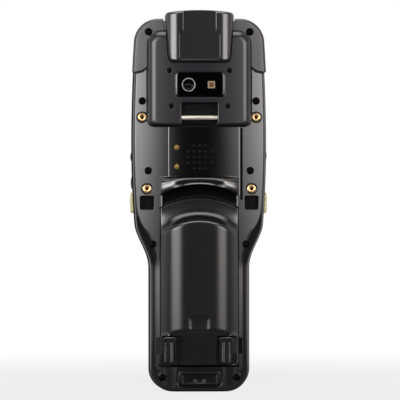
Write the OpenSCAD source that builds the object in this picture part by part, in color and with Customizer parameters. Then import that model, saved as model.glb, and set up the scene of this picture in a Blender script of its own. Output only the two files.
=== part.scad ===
// Handheld barcode data terminal, standing on its base with its back towards -Y.
// Heights (z) run up from the base, x runs across, and y = 0 in each module is the
// parting plane between the two housing halves; at_part_plane() puts it in the frame.

/* [Overall] */
// Length of the housing, from the base to the top edge
body_l = 195.3; // [188:0.1:240]
// Width across the widest part of the head
head_w = 71.4; // [70:0.1:88]
// Width of the grip
grip_w = 53.4; // [52:0.1:66]
// Depth of the rear half at its side strips
rear_d = 13; // [12:0.1:16]
// Depth of the front half
front_d = 12.5; // [12:0.1:16]
// Depth of the rear half at its heel
heel_d = 15.5; // [14:0.1:18]

/* [Housing] */
// Wall of both housing halves
wall = 1.8; // [1.4:0.1:2.4]
// Corner radius at the base
base_r = 11.5; // [8:0.5:14]
// Corner radius at the top
top_r = 12.8; // [10:0.1:16]
// Height at which the grip begins to flare out
flare_z = 66; // [62:1:70]
// Length of the flare
flare_l = 23; // [18:1:26]
// Distance that the rear half stands inside the front half
rear_margin = 0.7; // [0.4:0.1:1]
// Height of the heel
heel_z = 12.9; // [12:0.1:13]

/* [Rear module] */
// Width of the module housing
module_w = 54.2; // [48:0.1:56]
// Length of the module housing
module_l = 49.7; // [48:0.1:52]
// Distance of the module's top below the top of the housing
module_drop = 6.2; // [5:0.1:8]
// Height of the module above the side strips
module_rise = 5.5; // [4:0.1:7]
// Width of the camera window
window_w = 25.6; // [24:0.1:28]
// Height of the camera window
window_h = 13.3; // [12:0.1:14]
// Diameter of the camera ring
camera_d = 7.6; // [6:0.1:9]
// Side of the flash
flash_w = 4.1; // [3:0.1:6]
// Width of the strap recess
strap_w = 19; // [16:0.5:24]
// Diameter of the strap bar
strap_bar_d = 2.4; // [2:0.1:3]

/* [Scanner hood] */
// Width of the hood at its top
hood_top_w = 36.4; // [32:0.1:38]
// Width of the hood at its foot
hood_foot_w = 32.6; // [30:0.1:36]
// Length of the hood
hood_l = 27.5; // [24:0.5:29]
// Height of the hood above the top of the housing
hood_over = 4.7; // [4:0.1:6]
// Distance that the hood stands out from the side strips
hood_rise = 9; // [8:0.1:10]

/* [Finger rest] */
// Height of the rest's crest
crest_z = 110.3; // [109:0.1:112]
// Distance that the crest stands out from the strips
crest_rise = 5.6; // [3:0.1:7]

/* [Battery pack] */
// Width of the pack, which holds two cells side by side
pack_w = 41.4; // [38.4:0.1:41.6]
// Height of the pack's bottom edge
pack_z0 = 13.5; // [13.5:0.1:15]
// Height of the top of the pack's arched edge
pack_z1 = 101.6; // [100:0.1:102]
// Distance that the arch falls from its middle to its sides
arch_drop = 5.3; // [3:0.1:7]
// Distance that the pack's ridge stands out from the strips
pack_rise = 6.5; // [5.5:0.1:7]
// Length of a cell
cell_l = 50; // [40:1:51]
// Gap around the pack
pack_gap = 0.3; // [0.2:0.05:0.5]
// Travel of a pack lock
lock_travel = 2.4; // [1.5:0.1:2.6]

/* [Front] */
// Width of the display glass
glass_w = 56; // [48:0.5:57]
// Height of the display glass
glass_h = 78; // [60:0.5:79]
// Width of a number key
key_w = 10.5; // [8:0.5:11]
// Height of a number key
key_h = 7.2; // [6:0.1:8]
// Spacing of the key columns
key_pitch_x = 13.6; // [12:0.1:14]
// Spacing of the key rows
key_pitch_z = 11.2; // [10:0.1:11.5]
// Travel of a key
key_travel = 0.7; // [0.4:0.1:0.9]

/* [Grip mounting] */
// Spacing of the upper pair of threaded inserts
insert_upper_w = 60; // [58:0.5:60]
// Spacing of the lower pair of threaded inserts
insert_lower_w = 55; // [54:0.5:58]
// Tapped hole in an insert, for an M2.5 screw
insert_hole_r = 1.05; // [1:0.05:1.25]
// Side of a square grip socket
socket_w = 7.2; // [6.6:0.1:7.6]

/* [Hidden] */

$fn = 48;
slip = 0.1;                 // gap between a guided piece and its guide
fit = 0.02;                 // radial gap of a pressed or screwed pin
corner_steps = 5;           // steps along a drawn corner
bulge_z = 129;              // height of the widest level
bulge_span = 50;            // height over which the lower bulge is reached
bulge_low = 2.4;            // narrowing of the half width, a span below the widest level
bulge_high = 1.71735;       // and at the top corners

// Levels along y, from the parting plane
part_y = (rear_d + hood_rise - front_d) / 2;
strip_y = -rear_d;
module_y = strip_y - module_rise;
hood_y = strip_y - hood_rise;
pack_y = strip_y - pack_rise;
inner_y = strip_y + wall;            // inner face of the rear wall
keypad_y = front_d - 1.4;            // face of the recessed keypad field
key_y = front_d - 0.1;               // tops of the keys
flange_y = keypad_y - wall - slip;   // outer face of a key's flange

// Levels along z
module_z1 = body_l - module_drop;
module_z0 = module_z1 - module_l;
hood_z1 = body_l + hood_over;
hood_z0 = hood_z1 - hood_l;
window_z = module_z1 - 28.3;
strap_z = module_z0 + 4.2;
recess_z1 = module_z0 + 12.1;
glass_z1 = body_l - 11.3;
glass_z0 = glass_z1 - glass_h;

// The pack
pack_wall = 1.2;
pack_base_y = 1.2;                   // inner face of the pack
bay_y = pack_base_y + pack_gap;      // floor of the bay
bay_wall = 1.6;
swing_gap = 0.6;                     // room under the pack for its swing
cell_gap = 0.1;
cell_room_w = pack_w - 2 * pack_wall;
cell_d = min((cell_room_w - 3 * cell_gap) / 2, -pack_y - pack_wall - 2 * cell_gap);
cell_z0 = pack_z0 + 20.5;
lock_w = 7.2;
lock_x = pack_w / 2 - lock_w - 1.3;   // inner edge of a lock that is shut
lock_z0 = pack_z0 + 1.3;
lock_z1 = pack_z0 + 15.4;
tongue_z0 = lock_z0 + 5.2;
tongue_z1 = lock_z1 - 0.9;
tongue_reach = 2.7;
lock_floor_y = -10;
right_lock_open = 2.2;               // the right-hand lock is drawn in by this much

// Screw places: [x, z]
side_screws = [
    [head_w / 2 - 5.8, module_z0 + 13.1],
    [head_w / 2 - 8.9, 115.9],
    [grip_w / 2 - 2.3, 77.3],
    [grip_w / 2 - 7.2, 7.3]
];
bumper_screw = [head_w / 2 - 9.1, body_l - 6.5];
screw_head_r = 1.8;
screw_well_r = 2.1;
screw_shank_r = 1.1;
boss_r = 3;
seat_y = strip_y + 2.6;              // floor of a screw well
front_boss_y = 4.5;

// Threaded inserts: [x, z, outer radius]
upper_insert = [insert_upper_w / 2, module_z0 + 4.5, 2.25];
lower_insert = [insert_lower_w / 2, 106.4, 2.4];
insert_l = 4.5;
socket_x = insert_lower_w / 2;
socket_z = 99;
socket_d = 6;

// Boards
board_y = front_boss_y + slip;
board_t = 1.6;
pad_board_y = bay_y + bay_wall + slip;
pad_board_t = 1.2;
mat_y = pad_board_y + pad_board_t + slip;
mat_t = 0.8;
dome_r = 2.4;

// Key places on the front: [x, z, width, height]. Columns run from +x, the user's left.
digit_z = 26.5;
function digit_place(col, row) =
    [(1 - col) * key_pitch_x, digit_z + (3 - row) * key_pitch_z, key_w, key_h];
scan_key_place = [0, digit_z + 4 * key_pitch_z + 2.2, 17, 7.6];
function_key_place = [16.4, digit_z + 5 * key_pitch_z + 8.2, 7.6, 6];
nav_place = [0, digit_z + 5 * key_pitch_z + 6.5];
nav_r = 8.6;
ok_r = 4.2;
key_slot = 0.35;                     // gap between a key and the wall
flange_w = 0.7;
flange_t = 1;

// ---------- outlines: lists of [x, z], counter-clockwise seen from the back ----------

function smooth(t) = let (u = min(max(t, 0), 1)) u * u * (3 - 2 * u);
function bulge(z) = z < bulge_z
    ? bulge_low * pow((z - bulge_z) / bulge_span, 2)
    : bulge_high * pow((z - bulge_z) / (body_l - top_r - bulge_z), 2);
// Half width of the housing at a height: a straight grip, a flare and a bulged head
function half_w(z) =
    let (s = smooth((z - flare_z) / flare_l))
    grip_w / 2 + s * (head_w / 2 - bulge(z) - grip_w / 2);

// Half width of the outline at a height, with its round corners
function edge_x(z) = let (
        corner_z = body_l - top_r,
        r = z < base_r ? base_r : top_r,
        rise = max(base_r - z, z - corner_z, 0))
    half_w(min(z, corner_z)) - r + sqrt(r * r - rise * rise);

function arc(cx, cz, rx, rz, a0, a1, n = corner_steps) =
    [for (i = [0 : n]) let (a = a0 + (a1 - a0) * i / n) [cx + rx * cos(a), cz + rz * sin(a)]];
function flip(pts) = [for (i = [len(pts) - 1 : -1 : 0]) [-pts[i][0], pts[i][1]]];

function round_rect(x0, x1, z0, z1, r) = concat(
    arc(x1 - r, z0 + r, r, r, -90, 0), arc(x1 - r, z1 - r, r, r, 0, 90),
    arc(x0 + r, z1 - r, r, r, 90, 180), arc(x0 + r, z0 + r, r, r, 180, 270));

// The housing's outline, a margin narrower on each side and at the top
function body_outline(margin = 0) = let (
        corner_z = body_l - top_r - margin,
        flank = concat(
            [for (i = [1 : 4]) heel_z * (1 + i / 4) ],
            [for (i = [0 : 8]) flare_z - 3 + i * (flare_l + 6) / 8],
            [for (i = [1 : 7]) flare_z + flare_l + 3 + i * (corner_z - flare_z - flare_l - 3) / 8]),
        half = concat(
            arc(grip_w / 2 - margin - base_r, base_r, base_r, base_r, -90, 0),
            [for (z = flank) [half_w(z) - margin, z]],
            arc(half_w(corner_z) - margin - top_r, corner_z, top_r, top_r, 0, 90)))
    concat(half, flip(half));

function arch_z(x) = pack_z1 - arch_drop * pow(2 * x / pack_w, 2);
// The pack's outline: square foot corners, straight sides and an arched top
function pack_outline(grow = 0) = let (
        half = pack_w / 2 + grow,
        top = [for (i = [10 : -1 : -10]) [half * i / 10, arch_z(half * i / 10) + grow]])
    concat([[-half, pack_z0 - grow], [half, pack_z0 - grow]], top);

function hood_outline(grow = 0) = let (
        r = max(2.5 + min(grow, 0), 0.5),
        foot = hood_foot_w / 2 + grow,
        top = hood_top_w / 2 + grow,
        half = concat(
            arc(foot - r, hood_z0 - grow + r, r, r, -90, 0),
            arc(top - r, hood_z1 - 1 + grow - r, r, r, 0, 80),
            [[top / 2, hood_z1 - 0.1 + grow], [top / 6, hood_z1 + grow]]))
    concat(half, flip(half));

function unit(v) = v / norm(v);
// An outline moved inwards along its own normals
function inset(pts, d) = let (n = len(pts))
    [for (i = [0 : n - 1]) let (t = pts[(i + 1) % n] - pts[(i + n - 1) % n])
        pts[i] + d * unit([-t[1], t[0]])];

// ---------- construction helpers ----------

module at_part_plane() translate([0, part_y, 0]) children();

module both_sides() {
    children();
    mirror([1, 0, 0]) children();
}

// How far the strips sweep out to the heel
function heel_sweep(z) = (heel_d - rear_d) * (1 - smooth((z - heel_z) / heel_z));

// One ring of a loft: an outline moved in, at a level, with a share of the heel's sweep
function ring(outline, d, y, sweep = 0) =
    [for (p = d == 0 ? outline : inset(outline, d)) [p[0], y - sweep * heel_sweep(p[1]), p[1]]];

// A closed solid through rings of points, from the back forwards. Each ring runs up its
// right side and down its left, so its ends are closed by strips from side to side.
module loft(rings) {
    n = len(rings[0]);
    last = len(rings) - 1;
    top = last * n;
    sides = [for (k = [0 : last - 1]) for (i = [0 : n - 1]) let (j = (i + 1) % n)
        [k * n + i, k * n + j, (k + 1) * n + j, (k + 1) * n + i]];
    back = [for (i = [0 : n / 2 - 2]) [n - 1 - i, n - 2 - i, i + 1, i]];
    front = [for (i = [0 : n / 2 - 2]) [top + i, top + i + 1, top + n - 2 - i, top + n - 1 - i]];
    polyhedron(points = [for (r = rings) for (p = r) p], faces = concat(back, front, sides));
}

// A loft whose every ring is one outline moved in: steps are [inset, y] or [inset, y, sweep]
module inset_loft(outline, steps)
    loft([for (s = steps) ring(outline, s[0], s[1], len(s) > 2 ? s[2] : 0)]);

// A flat outline in x and z, from y0 to y1
module along_y(y0, y1) translate([0, y1, 0]) rotate([90, 0, 0]) linear_extrude(y1 - y0) children();

// A flat outline in y and z, from x0 to x1
module along_x(x0, x1) translate([x0, 0, 0]) rotate([90, 0, 90]) linear_extrude(x1 - x0) children();

module rod_y(x, z, y0, y1, r) translate([x, y1, z]) rotate([90, 0, 0]) cylinder(h = y1 - y0, r = r);

module block(low, high) translate(low) cube(high - low);

// A block across x = 0
module mid_block(half, y0, y1, z0, z1) block([-half, y0, z0], [half, y1, z1]);

// A plate in x and z with rounded corners, from y0 to y1
module plate(half, y0, y1, z0, z1, r) along_y(y0, y1) polygon(round_rect(-half, half, z0, z1, r));

// ---------- housing ----------

// Outer form of the rear half, with its edge rounded back to the strips
module rear_form(depth = rear_d, grow = 0) inset_loft(body_outline(rear_margin - grow), [
    [3.2, -depth, 1], [1.9, -depth + 0.45, 1], [0.9, -depth + 1.2, 1], [0.3, -depth + 2.2, 1],
    [0, -depth + 3.4, 1], [0, 0, 0]]);

module rear_cavity() inset_loft(inset(body_outline(rear_margin), wall), [
    [1.4, inner_y, 1], [0.3, inner_y + 1, 1], [0, inner_y + 2.4, 1], [0, 1, 0]]);

// The finger rest, a ridge above the pack: its rise over the strips follows a crest line
// that runs parallel to the pack's arch, and fades out towards its two ends
function rest_edge(x) = 1 - smooth((abs(x) - pack_w / 2 + 6) / 6);
function crest_line(x) = arch_z(x) - pack_z1 + crest_z;
rest_above = 5.7;                    // reach of the ridge above its crest
rest_below = 8.2;                    // and below it
rest_edge_t = 0.1;                   // thickness at its thin edges
function rest_rise(x, z) = let (u = z - crest_line(x))
    rest_edge_t + crest_rise * rest_edge(x) * (1 - smooth(u > 0 ? u / rest_above : -u / rest_below));

// A stack of profiles across x, each its outer line and a straight foot
module finger_rest() color([0.24, 0.24, 0.25]) at_part_plane() {
    nx = 16;
    nz = 12;
    half = pack_w / 2;
    w = nz + 3;
    points = [for (i = [0 : nx]) let (
            x = half * (2 * i / nx - 1),
            z0 = arch_z(x) + 1.3 * pack_gap,
            z1 = crest_line(x) + rest_above)
        each concat(
            [for (j = [0 : nz]) let (z = z0 + (z1 - z0) * j / nz) [x, strip_y - rest_rise(x, z), z]],
            [[x, strip_y, z1], [x, strip_y, z0]])];
    sides = [for (i = [0 : nx - 1]) for (j = [0 : w - 1])
        let (a = i * w + j, b = i * w + (j + 1) % w) each [[a, b, b + w], [a, b + w, a + w]]];
    polyhedron(points = points, faces = concat(
        [[for (j = [w - 1 : -1 : 0]) j]], [[for (j = [0 : w - 1]) nx * w + j]], sides));
}

module screw_posts(y0, y1, r, places) for (p = places) both_sides() rod_y(p[0], p[1], y0, y1, r);

// Bay walls and floor
module bay_form() {
    along_y(strip_y + 0.6, bay_y + bay_wall) polygon(pack_outline(pack_gap + bay_wall));
    mid_block(9.5, strip_y + 1, -2.5, pack_z1 - 2, pack_z1 + 5.2);
}

module bay_cut() {
    along_y(hood_y - 5, bay_y) polygon(pack_outline(pack_gap));
    mid_block((pack_w + 2 * pack_gap) / 2, hood_y - 5, bay_y, pack_z0 - swing_gap, pack_z0 + 1);
    mid_block(7.5, strip_y + 3.5, -4.2, pack_z1 - 3, pack_z1 + 3.4);
}

module socket_tub(grow, y1) both_sides()
    block([socket_x - socket_w / 2 - grow, strip_y - (grow > 0 ? 0 : 3), socket_z - socket_w / 2 - grow],
        [socket_x + socket_w / 2 + grow, y1, socket_z + socket_w / 2 + grow]);

module rear_shell() {
    difference() {
        rear_form();
        rear_cavity();
    }
    // walls of the connector port
    mid_block(11.8, strip_y - 1.5, -1, 1, heel_z - 0.5);
}

module rear_housing() color([0.3, 0.3, 0.31]) at_part_plane() difference() {
    union() {
        rear_shell();
        bay_form();
        screw_posts(strip_y + 1, 0, boss_r, side_screws);
        screw_posts(strip_y + 1.5, 0, boss_r - 0.4, [bumper_screw]);
        for (p = [upper_insert, lower_insert])
            both_sides() rod_y(p[0], p[1], strip_y + 1, strip_y + 3 + insert_l, p[2] + 1.1);
        socket_tub(1.2, strip_y + socket_d + 1.2);
        mid_block(strap_w / 2 + 2, inner_y - 0.5, inner_y + 1.2, module_z0 + 0.2, recess_z1 + 1.5);
    }
    bay_cut();
    socket_tub(0, strip_y + socket_d);
    // openings under the module and under the hood
    mid_block(22, strip_y - 1, inner_y + 2, recess_z1 + 2, hood_z0 - 1);
    mid_block(12, strip_y - 1, inner_y + 2, hood_z0 + 1.5, body_l - 4.5);
    // floor of the strap recess
    mid_block(strap_w / 2, strip_y - 1, strip_y + 1.6, module_z0 + 1.6, recess_z1);
    // screw wells and screw holes
    screw_posts(strip_y - 6, seat_y, screw_well_r, side_screws);
    screw_posts(strip_y - 6, seat_y, screw_well_r, [bumper_screw]);
    screw_posts(seat_y - 1, 1, screw_shank_r + slip, concat(side_screws, [bumper_screw]));
    // seats of the threaded inserts, with a shallow ring round each
    for (p = [upper_insert, lower_insert]) both_sides() {
        rod_y(p[0], p[1], strip_y - 1, strip_y + 0.8 + insert_l, p[2] + fit);
        rod_y(p[0], p[1], strip_y - 1, strip_y + 0.8, p[2] + 0.55);
        rod_y(p[0], p[1], strip_y, strip_y + 3.6 + insert_l, insert_hole_r);
    }
    // slots that take the lock tongues, open to the back
    both_sides() block([pack_w / 2, hood_y, tongue_z0 - 0.3],
        [pack_w / 2 + tongue_reach - 0.9, lock_floor_y + 0.5, tongue_z1 + 0.3]);
    // connector port and the seat of its cover
    mid_block(10.2, -heel_d - 1, 1, 2.8, 10.4);
    mid_block(11.5, -heel_d - 1, -heel_d + 1.3, 2.2, 11.5);
    // label recess, side groove and the contact holes
    block([-head_w / 2 + 3.7, strip_y - 1, module_z0 - 20.2], [-16.4, strip_y + 0.3, module_z0 - 0.6]);
    block([22.2, strip_y - 1, crest_z - 9], [22.9, strip_y + 0.8, module_z0 - 0.3]);
    for (z = contact_zs) rod_y(contact_x, z, strip_y - 1, inner_y + 1, contact_r + fit);
    speaker_holes();
    // floor opening for the battery contacts
    mid_block(9.1, 0, bay_y + bay_wall + 1, pack_z1 - 14.1, pack_z1 - 7.9);
    seal_ring(0.01);
}

// Sound holes: a grid within a circle, and a slot on each side of it
speaker_z = 123.2;
speaker_r = 9;
module speaker_holes() {
    pitch = 3;
    for (i = [-2 : 2]) for (j = [-2 : 2])
        if (i * i + j * j < 6) rod_y(i * pitch, speaker_z + j * pitch, strip_y - 6, inner_y + 1, 0.6);
}

contact_x = -11.9;
contact_zs = [118.1, 128.2];
contact_r = 1.35;

// Seal between the two halves, in a groove of the rear half
module seal_ring(grow = 0) difference() {
    inset_loft(body_outline(1), [[0, -0.8 - grow], [0, grow]]);
    inset_loft(body_outline(1.6), [[0, -2], [0, 1]]);
}
module housing_seal() color([0.1, 0.1, 0.1]) at_part_plane() seal_ring();

module front_form() inset_loft(body_outline(), [
    [0, 0], [0, front_d - 2.1], [0.6, front_d - 0.8], [1.6, front_d - 0.2], [3, front_d]]);

module front_cavity() inset_loft(inset(body_outline(), wall), [
    [0, -1], [0, front_d - 4], [1.4, front_d - wall]]);

// A rib that ties a front boss to the middle of the side wall
module boss_rib(p) block(
    [p[0], 0, p[1] - 1],
    [min(edge_x(p[1] - 1), edge_x(p[1] + 1)) - wall / 2, front_boss_y - 0.5, p[1] + 1]);

module key_hole(place, y0) let (w = place[2] / 2 + key_slot, h = place[3] / 2 + key_slot)
    along_y(y0, front_d + 1)
        polygon(round_rect(place[0] - w, place[0] + w, place[1] - h, place[1] + h, 1.5));

// Side buttons: [z, height, y, depth, tip x]
trigger_place = [99.1, 11, 4.6, 6.4, head_w / 2 + 0.7];
upper_key_place = [123.4, 4.7, 4.6, 4, head_w / 2 + 0.6];
lower_key_place = [109.7, 6.8, 4.6, 4, head_w / 2 + 0.3];
right_key_place = [124.1, 5.2, 4.6, 4, head_w / 2 + 0.6];

module side_button_form(place, x0, x1, grow, r) let (
        h = place[1] / 2 + grow,
        d = place[3] / 2 + grow)
    along_x(x0, x1) polygon([for (p = round_rect(-d, d, -h, h, r)) [place[2] + p[0], place[0] + p[1]]]);

module front_housing() color([0.1, 0.1, 0.11]) at_part_plane() difference() {
    union() {
        difference() {
            front_form();
            front_cavity();
        }
        // keypad plate and display ledge
        mid_block(grip_w / 2 - 2.2, keypad_y - wall, front_d - 1, 8, 62);
        mid_block(grip_w / 2 - 1.2, keypad_y - wall, front_d - 1, 61, glass_z0 - 3);
        mid_block(glass_w / 2 + 1.6, front_d - 3.5, front_d - 1, glass_z0 - 3.5, glass_z1 + 1.8);
        for (p = concat(side_screws, [bumper_screw])) both_sides() {
            rod_y(p[0], p[1], 0, front_boss_y, p == bumper_screw ? boss_r - 0.4 : boss_r - 0.2);
            boss_rib(p);
        }
    }
    screw_posts(-1, front_boss_y - 0.6, screw_shank_r + fit, concat(side_screws, [bumper_screw]));
    // room for the bay of the rear half
    along_y(-1, bay_y + bay_wall + slip) polygon(pack_outline(pack_gap + bay_wall + slip));
    // recessed keypad field and display pocket
    plate(21.8, keypad_y, front_d + 1, 17.5, glass_z0 - 5.2, 6);
    plate(glass_w / 2 + slip, front_d - 1.9, front_d + 1, glass_z0 - slip, glass_z1 + slip, 2.5);
    plate(display_w / 2 + slip, 0, front_d + 1, display_z0 - slip, display_z1 + slip, 1);
    // keys, with room behind for their flanges
    for (col = [0 : 2]) for (row = [0 : 3]) key_hole(digit_place(col, row), 3);
    key_hole(scan_key_place, 3);
    for (s = [-1, 1])
        key_hole([s * function_key_place[0], function_key_place[1],
            function_key_place[2], function_key_place[3]], 3);
    rod_y(nav_place[0], nav_place[1], 3, front_d + 1, nav_r + key_slot);
    // side buttons
    both_sides() side_button_form(trigger_place, 20, head_w, 0.25, 2);
    mirror([1, 0, 0]) side_button_form(upper_key_place, 20, head_w, 0.25, 1.5);
    mirror([1, 0, 0]) side_button_form(lower_key_place, 20, head_w, 0.25, 1.5);
    side_button_form(right_key_place, 20, head_w, 0.25, 1.5);
    // earpiece slot
    plate(6, front_d - 4, front_d + 1, glass_z1 + 3.2, glass_z1 + 4.6, 0.6);
    // seat of the connector
    mid_block(10.2, -1, 2, 2.8, 10.4);
}

// Rubber caps over both top corners, a skin on the rear half
bumper_skin = 0.8;
bumper_z0 = module_z1 - 20.3;
module bumper_zone() difference() {
    both_sides() along_y(-30, 0) polygon([
        [hood_top_w / 2 + 0.5, body_l + 5], [head_w, body_l + 5], [head_w, bumper_z0 - 2],
        [head_w / 2 + 1, bumper_z0 - 2], [module_w / 2 + 1.2, bumper_z0 + 2],
        [module_w / 2 - 3, bumper_z0 + 8], [hood_top_w / 2 + 0.5, bumper_z0 + 8]]);
    along_y(-31, 1) polygon(round_rect(
        -module_w / 2 - 0.4, module_w / 2 + 0.4, module_z0, module_z1 + 0.4, 7.4));
}
module corner_bumpers() color([0.2, 0.2, 0.2]) at_part_plane() difference() {
    intersection() {
        rear_form(rear_d + bumper_skin, rear_margin + 0.45);
        bumper_zone();
    }
    rear_form();
    screw_posts(strip_y - 6, 0, screw_well_r - 0.1, [bumper_screw]);
}

// ---------- rear module ----------

module_steps = [
    [4.4, 0], [2.6, 0.35], [1.3, 1], [0.45, 2], [0, 3.4], [0, 5.5]];   // [inset, depth share]
function module_ring(s) = let (w = module_w / 2 - s[0])
    round_rect(-w, w, module_z0 + s[0] / 3, module_z1 - s[0], max(7 - s[0], 1.5));
module_screws_at = [[15.7, 14.7 + hood_z0 - 19], [14.8, module_z0 + 10.2]];
camera_x = -5.7;
flash_x = 6.2;

module module_housing() color([0.22, 0.23, 0.26]) at_part_plane() difference() {
    loft([for (s = module_steps) ring(module_ring(s), 0, module_y + s[1] * module_rise / 5.5)]);
    // hollows behind the face
    mid_block(inner_x, face_y, strip_y + 1, recess_z1 + 1.4, hood_z0 - 1.6);
    face_y = module_y + 1.6;
    inner_x = module_w / 2 - 2;
    both_sides() {
        block([strap_w / 2 + 2, face_y, module_z0 + 1.8], [inner_x, strip_y + 1, recess_z1 + 2]);
        block([hood_top_w / 2 + 1.6, face_y, hood_z0 - 2], [inner_x, strip_y + 1, module_z1 - 4]);
    }
    along_y(hood_y - 1, strip_y + 1) polygon(hood_outline(0.25));
    // strap recess, open downwards, and the bar's holes
    mid_block(strap_w / 2, module_y - 1, strip_y + 1, module_z0 - 1, recess_z1);
    strap_rod(strap_bar_d / 2 + fit);
    // seat of the camera window, and its lens and flash
    plate(window_w / 2 + slip, module_y - 1, module_y + 1.2, window_z - window_h / 2 - slip,
        window_z + window_h / 2 + slip, 1.4);
    rod_y(camera_x, window_z, module_y, strip_y, camera_d / 2 + slip);
    block([flash_x - flash_w / 2 - slip, module_y, window_z - flash_w / 2 - slip],
        [flash_x + flash_w / 2 + slip, strip_y, window_z + flash_w / 2 + slip]);
    for (p = module_screws_at) both_sides() {
        rod_y(p[0], p[1], module_y - 1, module_y + 0.8, 1.35);
        rod_y(p[0], p[1], module_y, strip_y + 1, 0.8 + fit);
    }
}

module strap_rod(r) translate([-strap_w / 2 - 1.4, strap_bar_y, strap_z]) rotate([0, 90, 0])
    cylinder(h = strap_w + 2.8, r = r);
strap_bar_y = module_y + strap_bar_d / 2 + 0.1;
module strap_bar() color([0.85, 0.83, 0.8]) at_part_plane() strap_rod(strap_bar_d / 2);

module module_screws() color([0.05, 0.05, 0.05]) at_part_plane()
    for (p = module_screws_at) both_sides() {
        rod_y(p[0], p[1], module_y + 0.2, module_y + 0.8, 1.25);
        rod_y(p[0], p[1], module_y + 0.7, strip_y - 1.6, 0.8);
    }

module camera_window() color([0.02, 0.02, 0.03]) at_part_plane() difference() {
    plate(window_w / 2, module_y - 0.1, module_y + 1.1, window_z - window_h / 2,
        window_z + window_h / 2, 1.3);
    rod_y(camera_x, window_z, module_y - 1, strip_y, camera_d / 2 + slip);
    block([flash_x - flash_w / 2 - slip, module_y - 1, window_z - flash_w / 2 - slip],
        [flash_x + flash_w / 2 + slip, strip_y, window_z + flash_w / 2 + slip]);
}

module camera_ring() color([0.85, 0.85, 0.85]) at_part_plane() difference() {
    rod_y(camera_x, window_z, module_y - 0.2, strip_y - 0.9, camera_d / 2);
    rod_y(camera_x, window_z, module_y - 1, strip_y, camera_d / 2 - 0.65);
}

module camera_lens() color([0.05, 0.05, 0.07]) at_part_plane()
    rod_y(camera_x, window_z, module_y + 0.2, strip_y - 0.9, camera_d / 2 - 0.65 - slip);

module flash_led() color([0.95, 0.8, 0.55]) at_part_plane()
    block([flash_x - flash_w / 2, module_y, window_z - flash_w / 2],
        [flash_x + flash_w / 2, strip_y - 0.9, window_z + flash_w / 2]);

module camera_board() color([0.05, 0.3, 0.15]) at_part_plane()
    mid_block(13, strip_y - 0.8, strip_y + 0.4, window_z - 6, window_z + 6);

// ---------- scanner hood ----------

module hood_channel() {
    // wide recess low down, narrower between the two upper pads
    plate(11.3, hood_y - 1, hood_y + 0.7, hood_z0 + 2, hood_z1 - 12.5, 1);
    plate(8.3, hood_y - 1, hood_y + 0.7, hood_z1 - 14, hood_z1 + 5, 0.6);
}

hood_steps = [[3.6, hood_y], [2, hood_y + 0.4], [0.9, hood_y + 1.2], [0.2, hood_y + 2.6],
    [0, hood_y + 4], [0, strip_y - 0.02]];   // [inset, y]
module scanner_hood() color([0.2, 0.2, 0.22]) at_part_plane() difference() {
    union() {
        loft([for (s = hood_steps) ring(hood_outline(-s[0]), 0, s[1])]);
        // cap over the top edge, round the scan window
        mid_block(hood_top_w / 2 - 1.2, strip_y - 0.5, strip_y + 8, body_l + 0.1, hood_z1 - 0.4);
    }
    hood_channel();
    mid_block(13.6, hood_y + 2, strip_y + 1, hood_z0 + 1.8, scan_glass_z);
    mid_block(11.4, strip_y, strip_y + 5, body_l - 1, scan_glass_z);
    mid_block(scan_glass_half + slip, hood_y + 3, strip_y + 4, scan_glass_z - 1, hood_z1 + 1);
}

scan_glass_z = hood_z1 - 2.4;
scan_glass_half = 12.4;
module scan_window() color([0.35, 0.03, 0.05]) at_part_plane()
    mid_block(scan_glass_half, hood_y + 3.1, strip_y + 3.9, scan_glass_z, scan_glass_z + 1.2);

module scan_engine() color([0.12, 0.12, 0.13]) at_part_plane() {
    mid_block(11, hood_y + 2.2, strip_y + 3, body_l - 21, body_l - 7);
    for (x = [-6, 5]) translate([x, strip_y - 3, body_l - 7]) cylinder(h = 1.2, r = 3);
}

// ---------- screws, inserts, contacts ----------

module long_screw(p) {
    rod_y(p[0], p[1], seat_y - 1.7, seat_y, screw_head_r);
    rod_y(p[0], p[1], seat_y - 0.1, front_boss_y - 0.9, screw_shank_r);
}
module housing_screws() color([0.06, 0.06, 0.06]) at_part_plane()
    for (p = concat(side_screws, [bumper_screw])) both_sides() long_screw(p);

module grip_inserts() color([0.85, 0.6, 0.3]) at_part_plane()
    for (p = [upper_insert, lower_insert]) both_sides() difference() {
        rod_y(p[0], p[1], strip_y + 0.3, strip_y + 0.8 + insert_l, p[2]);
        rod_y(p[0], p[1], strip_y - 1, strip_y + 3 + insert_l, insert_hole_r);
    }

module trigger_contacts() color([0.8, 0.65, 0.25]) at_part_plane()
    for (z = contact_zs) rod_y(contact_x, z, strip_y, inner_y + 0.8, contact_r);

// ---------- inside ----------

module speaker() color([0.15, 0.15, 0.15]) at_part_plane() {
    rod_y(0, speaker_z, inner_y + slip, inner_y + 2.6, speaker_r);
    rod_y(0, speaker_z, inner_y + 2.5, inner_y + 4.6, speaker_r - 3);
}

display_w = glass_w - 4;
display_z0 = glass_z0 + 2;
display_z1 = glass_z1 - 2;
module display_glass() color([0.03, 0.03, 0.04]) at_part_plane()
    plate(glass_w / 2, front_d - 1.85, front_d - 0.35, glass_z0, glass_z1, 2.4);
module display_module() color([0.3, 0.32, 0.35]) at_part_plane()
    plate(display_w / 2, front_d - 4.6, front_d - 1.95, display_z0, display_z1, 0.9);

module main_board() color([0.05, 0.35, 0.2]) at_part_plane()
    mid_block(head_w / 2 - 6.7, board_y, board_y + board_t, glass_z0 - 5, body_l - 9);
module card_holder() color([0.7, 0.7, 0.72]) at_part_plane()
    block([4, board_y - 2.1, glass_z0 + 12], [21, board_y - slip, glass_z0 + 28]);
module receiver() color([0.2, 0.2, 0.2]) at_part_plane()
    plate(7, board_y + board_t + slip, front_d - 3.6, glass_z1 + 2.4, glass_z1 + 5.4, 1);
module antenna() color([0.75, 0.5, 0.25]) at_part_plane()
    mid_block(24, board_y - 0.9, board_y - slip, body_l - 17, body_l - 11);

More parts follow.
